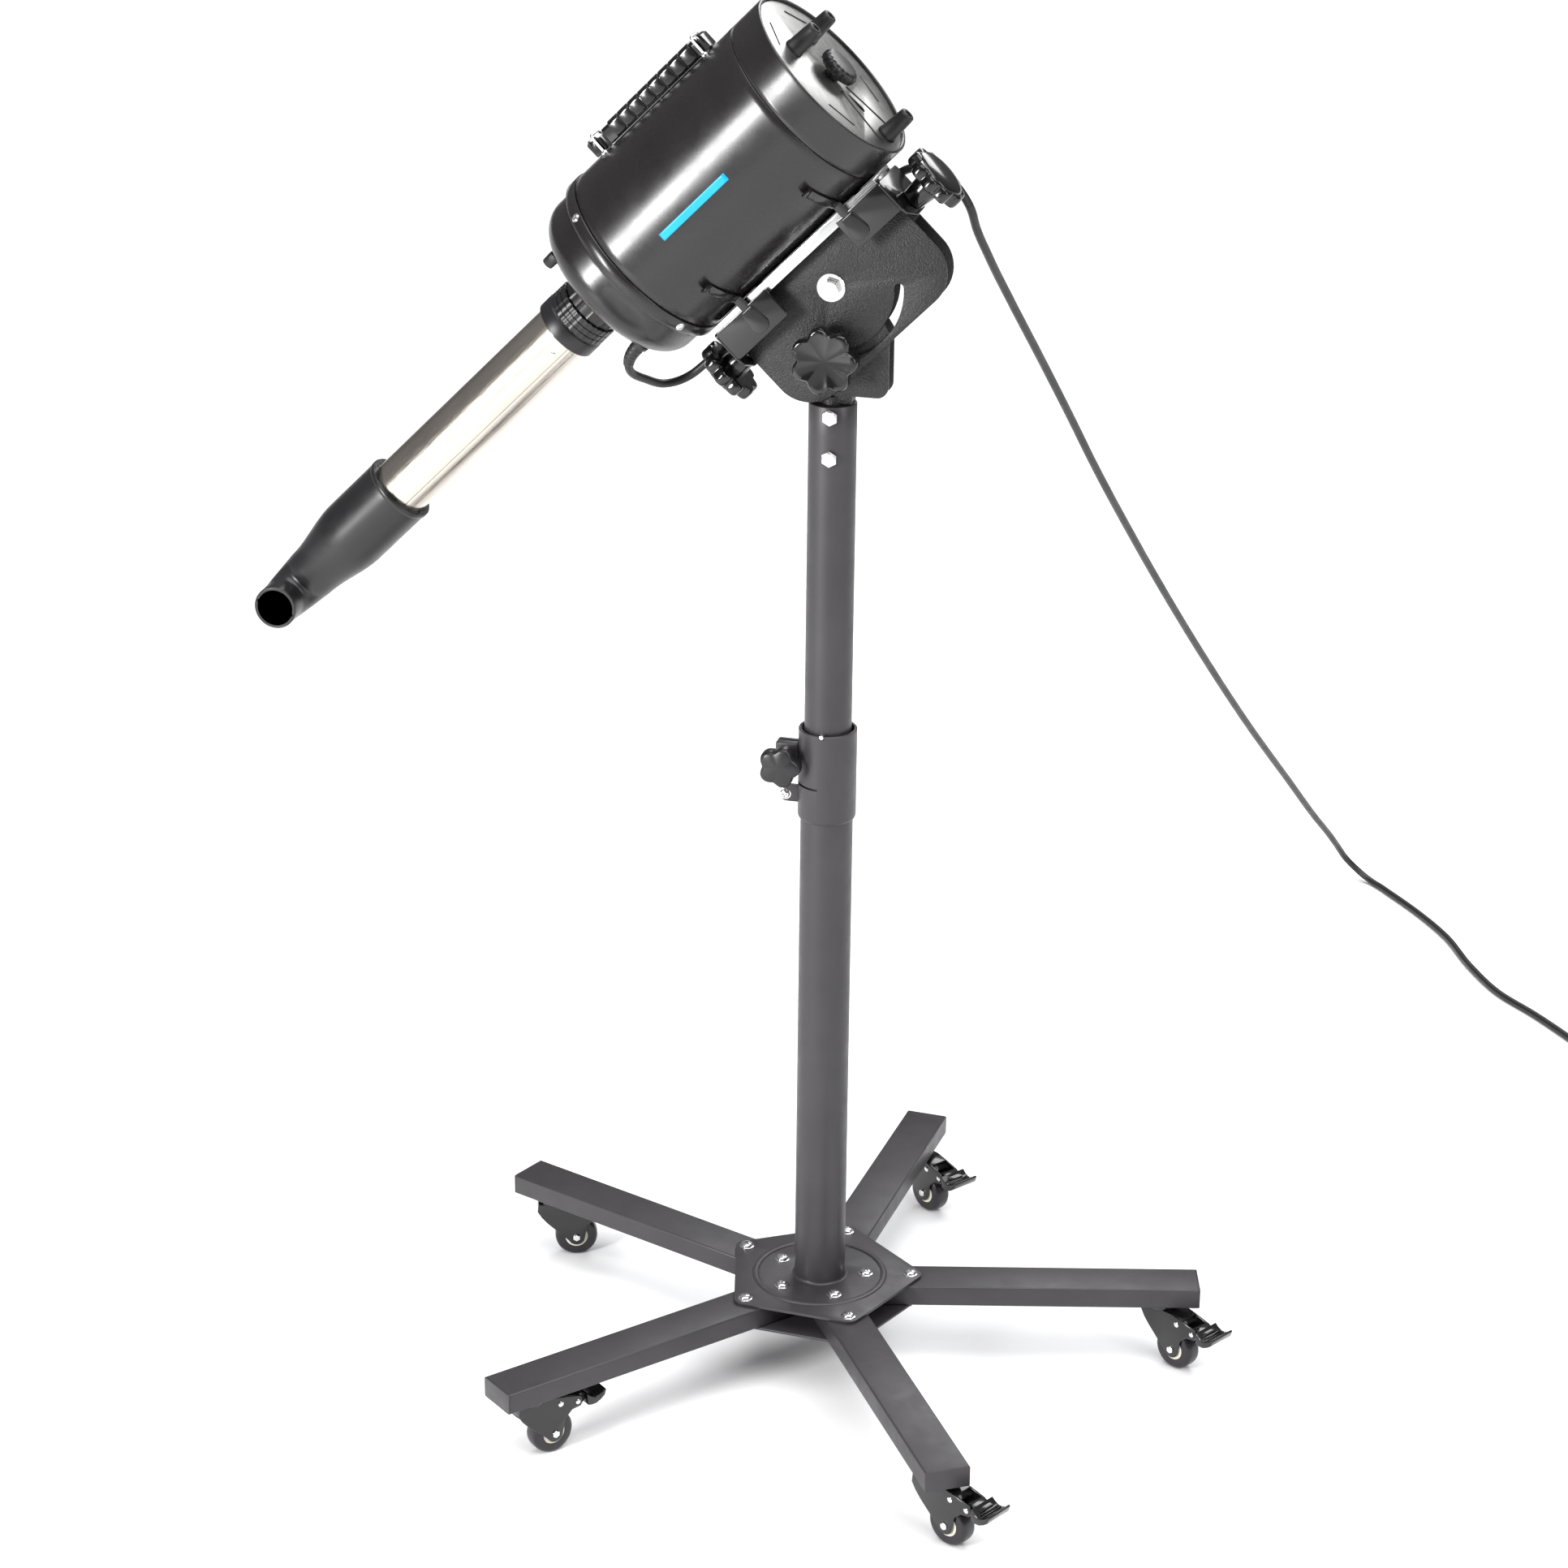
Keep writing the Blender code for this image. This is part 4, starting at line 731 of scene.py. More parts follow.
def add_column():
    low = LEG_LOW
    inner = LOWER_RADIUS - 0.0025
    rows = [(low + (LOWER_TOP - 0.001 - low) * step / 24, LOWER_RADIUS) for step in range(25)]
    end = [(LOWER_TOP - 0.0006, LOWER_RADIUS), (LOWER_TOP, LOWER_RADIUS - 0.0006), (LOWER_TOP, inner),
           (low, inner)]
    tube = placed(lathe(rows + end, closed=True), UPRIGHT)
    tall, wide = 0.0026, 0.0028
    weld = []
    for index in range(9):
        angle = math.radians(90 * index / 8)
        weld.append((HUB_FACE + tall - tall * math.sin(angle), LOWER_RADIUS + wide - wide * math.cos(angle)))
    weld = [(HUB_FACE, LOWER_RADIUS - 0.0004), (HUB_FACE + wide, LOWER_RADIUS - 0.0002)] + weld
    bead = lathe(weld, closed=True,
                 ripple=lambda x, angle: 0.00025 * math.sin(angle * 38) if x < 0.1055 else 0.0)
    piece("lower_column", [tube, placed(bead, UPRIGHT)], "black_steel", "stand", ROW, ["lower_tube"])


def add_collar():
    """The split clamp at the column's top, with its ears, lug and top notch."""
    inner = LOWER_RADIUS + GAP
    top, bottom = COLLAR_TOP, COLLAR_BOTTOM
    profile = [(top, inner), (top, COLLAR_RADIUS - 0.0006), (top - 0.0006, COLLAR_RADIUS),
               (bottom + 0.004, COLLAR_RADIUS), (bottom + 0.0014, COLLAR_RADIUS - 0.0008),
               (bottom, inner + 0.0009), (bottom, inner)]
    sleeve = placed(lathe(profile, closed=True, sides=128), UPRIGHT)
    x = CLAMP_SCREW[0]
    ears = block((x - 0.0115, -0.0085, 0.712), (-inner - 0.0012, 0.0085, 0.748), 0.0030, 3)
    tip, root = x - 0.005, -inner - 0.0008
    corners = [(tip, 0.680, 0.006), (root, 0.680, 0.0), (root, 0.699, 0.0), (tip, 0.699, 0.006)]
    lug = plate([rounded(corners)], -0.0080, -0.0020, "XZ", 0.0006)
    cutters = [block((x - 0.02, -0.0022, 0.7050), (-0.02, 0.0022, top + 0.01), 0),
               block((-0.0400, -0.040, 0.7038), (-0.0040, 0.0025, 0.7062), 0),
               block((-0.0029, -0.045, 0.7637), (0.0029, 0.045, top + 0.01), 0),
               rod(0.0033, (x, -0.02, 0.730), (x, 0.02, 0.730), 0, 32)]
    parts = [carved(mesh, [cutter.copy() for cutter in cutters]) for mesh in (sleeve, ears, lug)]
    piece("column_collar", parts, "black_steel", "stand", ROW, ["clamp_collar"], 35)
    screw = Matrix.Translation((x, -0.0080, 0.689)) @ TO_NEAR_SIDE
    piece("lug_screw", [pan_head(0.0055, 0.0034, 0.0068)], "zinc_bolt", "stand", screw)


def add_height_knob():
    """A five-lobed moulded knob on a bright screw."""
    rings = []
    for share, y in ((0.80, -0.0425), (0.93, -0.0412), (0.985, -0.0393), (1.0, -0.0365), (1.0, -0.0290),
                     (0.97, -0.0265), (0.90, -0.0255)):
        rings.append(([(px * share, pz * share) for px, pz in lobed(0.0235, 0.0070, 5, 20, 0.35)], y))
    disc = stacked(rings)
    neck = rod(0.0085, (0, -0.0262, 0), (0, -0.0160, 0), 0.0006, 48, 0.0072)
    collar = rod(0.0070, (0, -0.0165, 0), (0, -0.0088, 0), 0.0004)
    matrix = Matrix.Translation(CLAMP_SCREW)
    piece("clamp_knob", [disc, neck, collar], "black_plastic", "height_knob", matrix, ["height_knob"], 40)
    screw = rod(0.0028, (0, -0.0100, 0), (0, 0.0118, 0), 0.0005)
    piece("clamp_knob_screw", [screw], "zinc_bolt", "height_knob", matrix)


def stacked(rings, crown=0.0006):
    """A solid through outlines in the XZ plane, each at its own y; the first is the outer face."""
    bm = bmesh.new()
    loops = []
    for outline, y in rings:
        loops.append([bm.verts.new((px, y, pz)) for px, pz in outline])
    for first, second in zip(loops, loops[1:]):
        for index in range(len(first)):
            after = (index + 1) % len(first)
            bm.faces.new((first[index], first[after], second[after], second[index]))
    middle = bm.verts.new((0, rings[0][1] - crown, 0))
    for index in range(len(loops[0])):
        after = (index + 1) % len(loops[0])
        bm.faces.new((loops[0][after], loops[0][index], middle))
    bm.faces.new(loops[-1])
    return to_mesh(bm)


# ---- Casters -----------------------------------------------------------------
def fork_mesh():
    """Two pressed cheeks, the top shroud and the swivel's ball race."""
    outline = [(-0.0190, 0.0700), (-0.0200, 0.0600), (-0.0150, 0.0520), (-0.0080, 0.0440), (0.0080, 0.0290)]
    outline += arc((CASTER_TRAIL, WHEEL_RADIUS), 0.0100, 205, 335, 14)
    outline += [(0.0390, 0.0400), (0.0480, 0.0480), (0.0585, 0.0495), (0.0625, 0.0550),
                (0.0590, 0.0620), (0.0400, 0.0670), (0.0250, 0.0700)]
    cheeks = []
    for side in (-1, 1):
        low, high = sorted((side * CHEEK_IN, side * CHEEK_OUT))
        cheeks.append(plate([outline], low, high, "XZ", 0.0009, 3))
    roof = [(-0.0190, 0.0700), (-0.0200, 0.0600), (-0.0150, 0.0540), (0.0380, 0.0545), (0.0400, 0.0670),
            (0.0250, 0.0700)]
    shroud = plate([roof], -0.0120, 0.0120, "XZ", 0.0012, 3)
    race = [(0.0690, 0.0), (0.0690, 0.0165), (0.0700, 0.0182), (0.0718, 0.0190), (0.0757, 0.0190),
            (0.0757, 0.0)]
    return merged(cheeks + [shroud, placed(lathe(race, sides=64), UPRIGHT)])


def tread_mesh():
    """The foot pedal: a dished tread with a raised lip and side flanges."""
    core = plate([[(0.0500, 0.0562), (0.0520, 0.0522), (0.0560, 0.0510), (0.0600, 0.0530), (0.0720, 0.0545),
                   (0.0720, 0.0600), (0.0600, 0.0635), (0.0520, 0.0610)],
                  circle(0.0023, PEDAL_PIN, 32)], -0.0103, 0.0103, "XZ", 0.0009, 3)
    tread = plate([[(0.0645, 0.0640), (0.0648, 0.0570), (0.0650, 0.0500), (0.0700, 0.0488), (0.0760, 0.0490),
                    (0.0820, 0.0520), (0.0870, 0.0560), (0.0890, 0.0625), (0.0880, 0.0634), (0.0870, 0.0635),
                    (0.0840, 0.0607), (0.0810, 0.0590), (0.0775, 0.0578), (0.0740, 0.0575),
                    (0.0690, 0.0600)]],
                  -0.0180, 0.0180, "XZ", 0.0010, 3)
    ribs = []
    for index in range(4):
        x, z = 0.0700 + 0.0042 * index, 0.0586 + (0.0012 if index > 2 else 0.0)
        ribs.append(rod(0.0006, (x, -0.0150, z), (x, 0.0150, z), 0.0002, 12))
    return merged([core, tread] + ribs)


def wheel_meshes():
    """Tyre, pale core ring and dark hub, about the axle along Y."""
    half = 0.0100
    tyre = [(-half, 0.0135), (-half, 0.0205), (-0.0092, 0.0228), (-0.0070, 0.0245), (-0.0040, 0.0250),
            (0.0040, 0.0250), (0.0070, 0.0245), (0.0092, 0.0228), (half, 0.0205), (half, 0.0135)]
    core = [(-0.0094, 0.0082), (-0.0099, 0.0095), (-0.0099, 0.0128), (-0.0094, 0.0136), (0.0094, 0.0136),
            (0.0099, 0.0128), (0.0099, 0.0095), (0.0094, 0.0082)]
    hub = [(-half, 0.0031), (-half, 0.0075), (-0.0092, 0.0083), (0.0092, 0.0083), (half, 0.0075),
           (half, 0.0031)]
    turn = Matrix.Translation((CASTER_TRAIL, 0, WHEEL_RADIUS)) @ FACING_FRONT
    return [placed(lathe(profile, closed=True), turn) for profile in (tyre, core, hub)]


def fork_fastenings():
    """Rivets and the axle bolt on both cheeks."""
    parts = []
    for side in (-1, 1):
        turn = Matrix.Rotation(math.radians(90 * side), 4, "Z")
        for (x, z), radius in (((0.033, 0.060), 0.0032), (PEDAL_PIN, 0.0030)):
            profile = [(0.0, 0.0), (0.0, radius), (0.0006, radius), (0.0013, radius * 0.7), (0.0016, 0.0)]
            seat = Matrix.Translation((x, side * CHEEK_OUT, z)) @ turn
            parts.append(placed(lathe(profile, sides=32), seat))
        seat = Matrix.Translation((CASTER_TRAIL, side * CHEEK_OUT, WHEEL_RADIUS)) @ turn
        parts.append(placed(hex_head(0.0046, 0.0018), seat))
    for (x, z), radius, half in (((CASTER_TRAIL, WHEEL_RADIUS), 0.0028, 0.0136), (PEDAL_PIN, 0.0019, 0.0134)):
        parts.append(rod(radius, (x, -half, z), (x, half, z), 0.0002))
    return parts


def add_casters():
    for index in range(LEG_COUNT):
        number = index + 1
        matrix = at_angle(CASTER_RADIUS, leg_angle(index), 0)
        matrix = matrix @ Matrix.Rotation(math.radians(CASTER_HEADING[index]), 4, "Z")
        caster, wheel, pedal = f"caster_{number}", f"wheel_{number}", f"pedal_{number}"
        piece(f"caster_fork_{number}", [fork_mesh()], "gloss_black", caster, matrix, [f"fork_{number}"])
        piece(f"caster_rivets_{number}", fork_fastenings(), "zinc_bolt", caster, matrix)
        stem = rod(0.0050, (0, 0, 0.0750), (0, 0, 0.0925), 0.0004)
        piece(f"caster_stem_{number}", [stem], "zinc_bolt", caster, matrix)
        tyre, core, hub = wheel_meshes()
        piece(f"wheel_tyre_{number}", [tyre, hub], "tyre_black", wheel, matrix, [f"wheel_{number}"])
        piece(f"wheel_core_{number}", [core], "cream", wheel, matrix)
        piece(f"brake_tread_{number}", [tread_mesh()], "gloss_black", pedal, matrix,
              [f"brake_pedal_{number}"])


# ---- Mast --------------------------------------------------------------------
def add_mast():
    low, top = 0.400, UPPER_TOP
    inner = UPPER_RADIUS - 0.0022
    rows = [(low + (top - 0.001 - low) * step / 24, UPPER_RADIUS) for step in range(25)]
    tube = lathe(rows + [(top, UPPER_RADIUS - 0.0006), (top, inner), (low, inner)], closed=True)
    piece("mast_tube", [placed(tube, UPRIGHT)], "black_steel", "mast", ROW, ["upper_tube"])
    pin = rod(0.0025, (0, -0.0325, STOP_PIN_Z), (0, 0.0325, STOP_PIN_Z), 0.0006, 32)
    piece("stop_pin", [pin], "zinc_bolt", "mast")
    spots = []
    for z in (1.1193, 1.0748):
        spots.append(Matrix.Translation((0.003, -UPPER_RADIUS + 0.0002, z)) @ TO_NEAR_SIDE)
    piece("mast_bolts", repeated(lambda: hex_head(0.0088, 0.0042), spots), "zinc_bolt", "mast")


def mast_plate_outline():
    low = 1.1400 - PIVOT_Z
    return rounded([(-0.042, low, 0.012), (0.061, low, 0.012), (0.061, -0.045, 0.012), (0.030, 0.002, 0.010),
                    (0.030, 0.030, 0.0290), (-0.030, 0.030, 0.0290), (-0.030, -0.020, 0.010),
                    (-0.042, -0.045, 0.010)], 8)


def add_mast_bracket():
    holes = [circle(0.0058), circle(0.0048, (0, -KNOB_DROP))]
    plates = []
    for side in (-1, 1):
        low, high = sorted((side * MAST_PLATE_IN, side * MAST_PLATE_OUT))
        plates.append(plate([mast_plate_outline()] + holes, low, high, "XZ", 0.0006))
    low = UPPER_TOP + GAP - PIVOT_Z
    neck = block((-0.0220, -0.0106, low), (0.0220, 0.0106, low + 0.0154), 0.0012)
    plug = rod(UPPER_RADIUS - 0.0025, (0, 0, low - 0.075), (0, 0, low - 0.0006), 0.0006, 64)
    core = rod(0.0130, (0, 0, low - 0.020), (0, 0, low + 0.008), 0.0004)
    piece("mast_fork", plates + [neck, plug, core], "textured_black", "mast", AT_PIVOT, ["mast_bracket"])


def add_pivot_bolt():
    half = BOLT_SEAT
    turn = Matrix.Translation((0, -half, 0)) @ TO_NEAR_SIDE @ Matrix.Rotation(0.3, 4, "X")
    head = placed(hex_head(0.0105, 0.0066, 0.0150), turn)
    shank = rod(0.0055, (0, -half - 0.001, 0), (0, half + 0.0098, 0), 0.0005)
    nut = rod(0.0105, (0, half, 0), (0, half + 0.008, 0), 0.0006, 6)
    piece("tilt_bolt", [head, shank, nut], "zinc_bolt", "mast", AT_PIVOT, ["pivot_bolt"], 35)


def add_tilt_knob():
    """A seven-lobed clamping knob with a dished face."""
    rings = []
    for share, y in ((0.55, -0.0478), (0.80, -0.0492), (0.90, -0.0496), (0.96, -0.0485), (0.992, -0.0460),
                     (1.0, -0.0420), (0.995, -0.0350), (0.97, -0.0315), (0.90, -0.0300)):
        rings.append(([(px * share, pz * share) for px, pz in lobed(0.0360, 0.0095, 7, 22, 0.30)], y))
    disc = stacked(rings, -0.0012)
    half = BOLT_SEAT
    neck = rod(0.0185, (0, -0.0305, 0), (0, -half, 0), 0.0008, 64, 0.0140)
    matrix = Matrix.Translation((0, 0, PIVOT_Z - KNOB_DROP))
    piece("tilt_clamp_knob", [disc, neck], "gloss_black", "tilt_knob", matrix, ["tilt_knob"], 40)
    bolt = rod(0.0045, (0, -half, 0), (0, half + 0.009, 0), 0.0005)
    nut = rod(0.0085, (0, half, 0), (0, half + 0.007, 0), 0.0006, 6)
    piece("tilt_clamp_bolt", [bolt, nut], "zinc_bolt", "tilt_knob", matrix, (), 35)


# ---- Cradle ------------------------------------------------------------------
def slot_outline():
    half = SLOT_HALF
    low, high = SLOT_ENDS
    low_end, high_end = arc((0, 0), KNOB_DROP, low, high, 2)
    outline = arc((0, 0), KNOB_DROP + half, low, high, 49)
    outline += arc(high_end, half, high, high + 180, 13)[1:-1]
    outline += arc((0, 0), KNOB_DROP - half, high, low, 49)
    outline += arc(low_end, half, low + 180, low + 360, 13)[1:-1]
    return outline


def add_tilt_bracket():
    top = 0.0396
    outline = rounded([(CRADLE_FRONT, top, 0), (CRADLE_FRONT, -0.082, 0.040), (CRADLE_REAR, -0.082, 0.040),
                       (CRADLE_REAR, top, 0)], 14)
    parts = []
    for side in (-1, 1):
        low, high = sorted((side * TILT_PLATE_IN, side * TILT_PLATE_OUT))
        parts.append(plate([outline, circle(0.0058), slot_outline()], low, high, "XZ", 0.0006))
    wide = TILT_PLATE_OUT
    web = rounded([(-wide, 0.0375, 0.0), (-wide, 0.0400, 0.0014), (wide, 0.0400, 0.0014),
                   (wide, 0.0375, 0.0)])
    parts.append(plate([web], CRADLE_FRONT, CRADLE_REAR, "YZ", 0.0004))
    for low, high in ((CRADLE_FRONT + 0.0003, CRADLE_FRONT + 0.0028),
                      (CRADLE_REAR - 0.0028, CRADLE_REAR - 0.0003)):
        parts.append(block((low, -0.0150, -0.008), (high, 0.0150, 0.0380), 0.0005))
    piece("tilt_channel", parts, "textured_black", "head", HEAD, ["tilt_bracket"])


def add_tray():
    low, high = 0.0403, 0.0522
    ceiling = high - 0.003
    corner = 0.0009
    outline = rounded([(-0.034, high, corner), (-0.034, low, corner / 2), (-0.031, low, corner / 2),
                       (-0.031, ceiling, corner / 2), (-0.0175, ceiling, corner / 2),
                       (-0.0175, low, corner / 2), (0.0175, low, corner / 2), (0.0175, ceiling, corner / 2),
                       (0.031, ceiling, corner / 2),
                       (0.031, low, corner / 2), (0.034, low, corner / 2), (0.034, high, corner)], 4)
    tray = plate([outline], CRADLE_FRONT, -CRADLE_FRONT, "YZ", 0.0003)
    piece("cradle_channel", [tray], "bright_metal", "head", HEAD, ["cradle_tray"])


def finger_band(side):
    """A strip that rises from a flap, hugs the canister and curls out at its tip."""
    centre = (0, CAN_Z)
    near, far = CAN_RADIUS + 0.0015, CAN_RADIUS + 0.0035
    curl = arc(centre, near, -69.2, -41.5, 16)
    for share in (0.0, 0.5, 1.0):
        curl += arc(centre, near + 0.0004 + 0.0022 * share ** 2, -40.2 + 2.2 * share, -40.2 + 2.2 * share, 1)
    curl += arc(centre, far + 0.0057, -37.5, -37.5, 1) + arc(centre, far + 0.0040, -38.6, -38.6, 1)
    curl += arc(centre, far + 0.0012, -40.6, -40.6, 1)
    band = [(0.0370, 0.0400)] + curl + arc(centre, far, -42.5, -67.9, 16) + [(0.0400, 0.0400)]
    return [(side * y, z) for y, z in band]


def add_jaw(name, node, side, flap_start, finger_middle):
    """A pressed end plate with rounded shoulders, two flaps and two fingers."""
    face, back = sorted((side * JAW_FACE, side * (JAW_FACE + JAW_THICK)))
    outline = rounded([(-0.040, 0.046, 0.004), (-0.040, 0.004, 0.010), (-0.016, -0.006, 0.008),
                       (0.016, -0.006, 0.008), (0.040, 0.004, 0.010), (0.040, 0.046, 0.004)], 8)
    parts = [plate([outline, circle(0.0043, (0, JAW_SCREW_Z), 32)], face, back, "YZ", 0.0007)]
    flap_low, flap_high = sorted((flap_start, side * (JAW_FACE + 0.001)))
    for lateral in (-1, 1):
        low, high = sorted((lateral * 0.037, lateral * 0.040))
        flap = rounded([(flap_low, 0.010, 0.003), (flap_high, 0.010, 0.003), (flap_high, 0.046, 0.003),
                        (flap_low, 0.046, 0.003)], 5)
        parts.append(plate([flap], low, high, "XZ", 0.0007))
        finger = finger_band(lateral)
        parts.append(plate([finger], finger_middle - 0.005, finger_middle + 0.005, "YZ", 0.0005))
        boss_low, boss_high = sorted((lateral * 0.0395, lateral * 0.0415))
        corners = [(finger_middle - 0.011, 0.014, 0.008), (finger_middle + 0.011, 0.014, 0.008),
                   (finger_middle + 0.008, 0.043, 0.003), (finger_middle - 0.008, 0.043, 0.003)]
        parts.append(plate([rounded(corners, 8)], boss_low, boss_high, "XZ", 0.0009, 3))
    piece(name, parts, "gloss_black", node, HEAD, [node])


def add_jaw_knob(name, node, side, disc_start):
    """A ten-lobed knob with a domed cap, on a plated screw."""
    rim = []
    for share, x in ((0.88, 0.0), (0.955, 0.0006), (0.99, 0.0022), (1.0, 0.0045), (1.0, 0.0105),
                     (0.985, 0.0132), (0.94, 0.0147), (0.86, 0.0152), (0.80, 0.0150)):
        rim.append((share, side * (disc_start + x)))
    bm = bmesh.new()
    loops = []
    for share, x in rim:
        outline = lobed(0.0350, 0.0062, 10, 16, 0.22)
        loops.append([bm.verts.new((x, py * share, pz * share)) for py, pz in outline])
    for first, second in zip(loops, loops[1:]):
        for index in range(len(first)):
            after = (index + 1) % len(first)
            bm.faces.new((first[index], first[after], second[after], second[index]))
    bm.faces.new(loops[0])
    bm.faces.new(loops[-1])
    disc = to_mesh(bm)
    outer = disc_start + 0.0148
    dome = [(side * outer, 0.0)]
    for degrees in range(0, 91, 10):
        angle = math.radians(degrees)
        dome.append((side * (outer + 0.0050 * math.sin(angle)), 0.0285 * math.cos(angle)))
    face = JAW_FACE + JAW_THICK + GAP
    hub = rod(0.0120, (side * face, 0, 0), (side * (disc_start + 0.001), 0, 0), 0.0008, 48, 0.0150)
    matrix = HEAD @ Matrix.Translation((0, 0, JAW_SCREW_Z))
    piece(name, [disc, lathe(dome), hub], "gloss_black", node, matrix, [node], 40)
    tip = CRADLE_FRONT + 0.0105 if side < 0 else CRADLE_REAR - 0.0105
    screw = rod(0.0040, (tip, 0, 0), (side * (JAW_FACE + 0.004), 0, 0), 0.0005)
    piece(name + "_screw", [screw], "zinc_bolt", node, matrix)


# ---- Canister ----------------------------------------------------------------
def add_shell():
    inner = CAN_RADIUS - CAN_WALL
    first, span = CAN_FRONT + 0.0008, CAN_REAR - CAN_FRONT - 0.0016
    rows = [(first + span * step / 30, CAN_RADIUS) for step in range(31)]
    profile = [(CAN_FRONT, inner), (CAN_FRONT, CAN_RADIUS - 0.0008)] + rows
    profile += [(CAN_REAR, CAN_RADIUS - 0.0008), (CAN_REAR, inner)]
    drum = lathe(profile, closed=True, sides=160)
    piece("canister_drum", [drum], "satin_black", "head", CAN, ["canister_shell"])


def add_strip():
    """A plain coloured strip laid on the drum's near side."""
    bm = bmesh.new()
    length, tall, lift = 24, 7, 0.00022
    rows = []
    for row in range(tall + 1):
        angle = math.radians(-93.0 + 4.7 * row / tall)
        reach = CAN_RADIUS + lift
        line = []
        for step in range(length + 1):
            x = -0.0650 + 0.0945 * step / length
            line.append(bm.verts.new((x, reach * math.sin(angle), reach * math.cos(angle))))
        rows.append(line)
    for first, second in zip(rows, rows[1:]):
        for index in range(length):
            bm.faces.new((first[index], first[index + 1], second[index + 1], second[index]))
    mesh = to_mesh(bm)
    obj = piece("side_strip", [mesh], "strip", None, CAN)
    thick = obj.modifiers.new("film", "SOLIDIFY")
    thick.thickness = 0.00015
    thick.offset = 0.0
    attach(obj, "head")


def turn_from(angle, degrees):
    """The angle measured from a heading in degrees, within half a turn either way."""
    middle = math.radians(degrees)
    return math.atan2(math.sin(angle - middle), math.cos(angle - middle))


def dome_dent(x, angle):
    """The depth of a pressed recess low on the dome."""
    across = turn_from(angle, -108) / math.radians(17)
    along = (x + 0.1530) / 0.0110
    reach = across * across + along * along
    return -0.0040 * math.exp(-1.6 * reach * reach) if reach < 4 else 0.0


def add_front_cap():
    rear = CAN_FRONT - GAP
    band = rear - 0.0137
    bend = DOME_RADIUS - 0.072
    centre = (DOME_FRONT + bend, 0.072)
    outer = CAN_RADIUS + 0.0015
    profile = [(rear, CAN_RADIUS - CAN_WALL), (rear, outer - 0.0008), (rear - 0.0008, outer),
               (band + 0.0010, outer), (band, outer - 0.0010), (band - 0.0004, DOME_RADIUS + 0.0022),
               (band - 0.0016, DOME_RADIUS + 0.0004)]
    for step in range(9):
        profile.append((band - 0.003 - (band - 0.003 - centre[0]) * step / 9, DOME_RADIUS))
    profile += arc(centre, bend, 90, 180, 22)
    profile += [(DOME_FRONT, SPIGOT_RADIUS + 0.012), (DOME_FRONT, SPIGOT_RADIUS + GAP),
                (DOME_FRONT + CAN_WALL, SPIGOT_RADIUS + GAP)]
    profile += arc(centre, bend - CAN_WALL, 180, 90, 12)
    profile += [(band + CAN_WALL, DOME_RADIUS - CAN_WALL), (band + CAN_WALL, CAN_RADIUS - CAN_WALL)]

    def ripple(x, angle):
        return dome_dent(x, angle) if x < band - 0.002 else 0.0

    cap = lathe(profile, closed=True, sides=192, ripple=ripple)
    cutters = []
    for (y, z), radius in ((SWITCH_SPOT, 0.0035), (GLAND_SPOT, 0.0062)):
        rise = z - CAN_Z
        cutters.append(rod(radius, (DOME_FRONT - 0.01, y, rise), (DOME_FRONT + 0.012, y, rise), 0, 32))
    piece("front_dome", [carved(cap, cutters)], "satin_black", "head", CAN, ["front_cap"], 45)
    screws = []
    for degrees in (-45, -139, 133, 45):
        angle = math.radians(degrees)
        seat = Matrix.Rotation(-angle, 4, "X") @ Matrix.Translation((rear - 0.0068, 0, outer - 0.0003))
        screws.append(seat @ UPRIGHT)
    piece("band_screws", repeated(lambda: pan_head(0.0038, 0.0016, 0.0047), screws), "zinc_bolt", "head", CAN)


def add_switch():
    y, z = SWITCH_SPOT
    spot = CAN @ Matrix.Translation((DOME_FRONT, y, z - CAN_Z))

    def knurled(x, angle):
        return 0.00022 * math.sin(24 * angle) if x < -0.002 else 0.0

    profile = [(-0.0140, 0.0), (-0.0140, 0.0052), (-0.0134, 0.0060), (-0.0030, 0.0065), (-GAP, 0.0065),
               (-GAP, 0.0)]
    knob = lathe(profile, sides=96, ripple=knurled)
    mark = block((-0.0143, -0.0005, 0.0010), (-0.0136, 0.0005, 0.0048), 0.0002)
    shaft = rod(0.0032, (-0.002, 0, 0), (0.010, 0, 0), 0.0003)
    piece("switch_knob", [knob, shaft, mark], "black_plastic", "switch", spot, ["power_switch"], 60)


def add_gland():
    """The bush in the dome and its ribbed, tapering strain relief."""
    y, z = GLAND_SPOT
    base = lathe([(-0.0050, 0.0), (-0.0050, 0.0082), (-0.0042, 0.0092), (-0.0010, 0.0095), (-GAP, 0.0095),
                  (-GAP, 0.0)], sides=48)
    collar = rod(0.0058, (-0.004, 0, 0), (0.008, 0, 0), 0.0003)
    spot = Matrix.Translation((DOME_FRONT, y, z))
    route = smooth_route([(DOME_FRONT - 0.003, y, z)] + BOOT_ROUTE, 12)
    radii = []
    for index in range(len(route)):
        share = index / (len(route) - 1)
        groove = 0.00055 if index % 6 in (3, 4) and share < 0.9 else 0.0
        radii.append(0.0085 - 0.0029 * share ** 1.2 - groove)
    boot = sweep(route, radii, 32)
    piece("strain_relief", [placed(base, spot), placed(collar, spot), boot], "rubber_black", "head", HEAD,
          ["cord_gland"])


